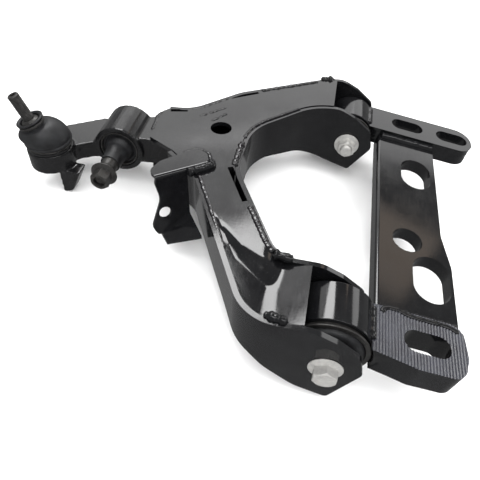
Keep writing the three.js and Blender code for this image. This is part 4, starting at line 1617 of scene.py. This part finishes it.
    def make_stud(self, shop: Workshop) -> None:
        """Make the ball stud, with its rolled thread and the socket in its end.

        Args:
            shop: Makes the pieces.
        """
        arc = [(self.ball * math.sin(a), self.ball * math.cos(a)) for a in
               (math.radians(180 - 147 * k / 24) for k in range(25))]
        profile = [*arc, (6.6, 14), (6.6, 24), (7.4, 31), (8.2, 36.5), (self.collar, 38.8),
                   (self.collar, 42.2), (8.8, 43.4), (6.4, 44.4), (5.4, 45.2),
                   (self.thread_radius, self.thread_start),
                   (self.thread_radius, self.tip - 1.0), (self.thread_radius - 0.9, self.tip), (0, self.tip)]
        thread = Thread(self.thread_start * MM, (self.tip - 1.0) * MM, self.thread_pitch * MM,
                        self.thread_depth * MM)
        mesh = turned(self.scaled(profile), 56, thread)
        corner = self.key_flats / math.sqrt(3)
        key = turned(self.scaled([(0, self.tip - 4), (corner, self.tip - 4), (corner, self.tip + 2),
                                  (0, self.tip + 2)]), 6)
        mesh = carved(mesh, [key])
        shop.piece("threaded_ball_stud", stand(mesh, BALL, STUD_AXIS), Slot.BLACK_STEEL, Body.STUD,
                   ["ball_stud"])


# ---------------------------------------------------------------- studio

@dataclass(frozen=True)
class Softbox:
    """A rectangular studio light, sized as it would be at two metres."""

    name: str
    towards: tuple[float, float, float]
    size: tuple[float, float]
    radiance: float
    distance: float = 8.0
    shows_in_gloss: bool = True
    colour: Colour = (1.0, 1.0, 1.0)

    def build(self) -> None:
        """Hang the light, aimed at the object."""
        data = bpy.data.lights.new(self.name, "AREA")
        data.color = self.colour
        data.shape = "RECTANGLE"
        data.size, data.size_y = (side * self.distance / 2 for side in self.size)
        data.energy = self.radiance * math.pi * data.size * data.size_y
        obj = bpy.data.objects.new(self.name, data)
        obj.location = Vector(self.towards).normalized() * self.distance
        obj.rotation_mode = "QUATERNION"
        obj.rotation_quaternion = obj.location.to_track_quat("Z", "Y")
        obj.visible_glossy = self.shows_in_gloss
        bpy.context.scene.collection.objects.link(obj)


@dataclass(frozen=True)
class Studio:
    """A pale floor, soft light and the camera."""

    elevation: float = math.radians(48.0)
    roll: float = math.radians(15.5)
    stand_at: tuple[float, float, float] = (0.0035, -0.4110, 0.4199)
    lens: float = 37.18
    floor_half: float = 40.0
    ambient: float = 0.28

    def build(self) -> None:
        """Set up the floor, the lights and the camera."""
        self.make_camera()
        self.make_floor()
        lights = (
            Softbox("back_wall_low", (-0.08, 0.87, 0.49), (2.3, 0.46), 1.6),
            Softbox("back_wall_high", (-0.26, 0.75, 0.65), (1.5, 0.42), 1.35),
            Softbox("main_softbox", (-0.33, 0.52, 0.79), (1.0, 0.44), 11.5),
            Softbox("warm_card", (0.27, 0.68, 0.68), (0.42, 0.30), 1.25, colour=(1.0, 0.80, 0.64)),
            Softbox("right_panel", (0.62, 0.60, 0.50), (0.45, 0.5), 2.6),
            Softbox("right_strip", (0.93, 0.36, 0.12), (0.5, 0.45), 5.0),
            Softbox("overhead_strip", (0.0, -0.22, 0.98), (2.6, 0.22), 7.0),
            Softbox("overhead_fill", (0.0, -0.25, 0.96), (3.2, 3.2), 2.6, shows_in_gloss=False),
            Softbox("front_fill", (0.0, -0.85, 0.5), (3.0, 1.6), 2.0, shows_in_gloss=False),
        )
        for light in lights:
            light.build()
        world = bpy.data.worlds.new("studio_air")
        world.use_nodes = True
        background = world.node_tree.nodes["Background"]
        background.inputs[0].default_value = (1.0, 1.0, 1.0, 1.0)
        background.inputs[1].default_value = self.ambient
        bpy.context.scene.world = world
        bpy.context.scene.view_settings.view_transform = "Standard"

    def make_camera(self) -> None:
        """Stand the camera in front of the object, looking down and turned about its own axis."""
        data = bpy.data.cameras.new("camera")
        data.lens = self.lens
        data.sensor_width = 36.0
        camera = bpy.data.objects.new("camera", data)
        bpy.context.scene.collection.objects.link(camera)
        forward = Vector((0, math.cos(self.elevation), -math.sin(self.elevation)))
        level = Vector((1, 0, 0))
        above = level.cross(forward)
        right = level * math.cos(self.roll) + above * math.sin(self.roll)
        up = above * math.cos(self.roll) - level * math.sin(self.roll)
        turn = Matrix((right, up, -forward)).transposed().to_4x4()
        camera.matrix_world = Matrix.Translation(Vector(self.stand_at)) @ turn
        bpy.context.scene.camera = camera

    def make_floor(self) -> None:
        """Lay the pale floor under the object."""
        mesh = bmesh.new()
        bmesh.ops.create_grid(mesh, x_segments=1, y_segments=1, size=self.floor_half)
        data = bpy.data.meshes.new("floor")
        mesh.to_mesh(data)
        mesh.free()
        floor = bpy.data.objects.new("floor", data)
        floor.location.z = -0.2 * MM
        floor.visible_glossy = False
        bpy.context.scene.collection.objects.link(floor)
        graph = NodeGraph("pale_floor")
        cloud = graph.noise(0.4, 2.0)
        floor.data.materials.append(graph.surface(
            Base_Color=graph.mix(cloud, (0.90, 0.90, 0.90), (0.93, 0.93, 0.93)), Roughness=0.85))


def main() -> None:
    """Build the studio and every sub-assembly."""
    Studio().build()
    shop = Workshop()
    assemblies = (FrameBracket(), Bushing("front"), Bushing("rear"), PivotFastener("front", True),
                  PivotFastener("rear", False), ArmBox(), OuterForging(), LinkBracket(), DamperMount(),
                  BallJoint())
    for assembly in assemblies:
        assembly.build(shop)
        log.info("%s done", type(assembly).__name__)
    bpy.context.view_layer.update()


if __name__ == "__main__":
    main()
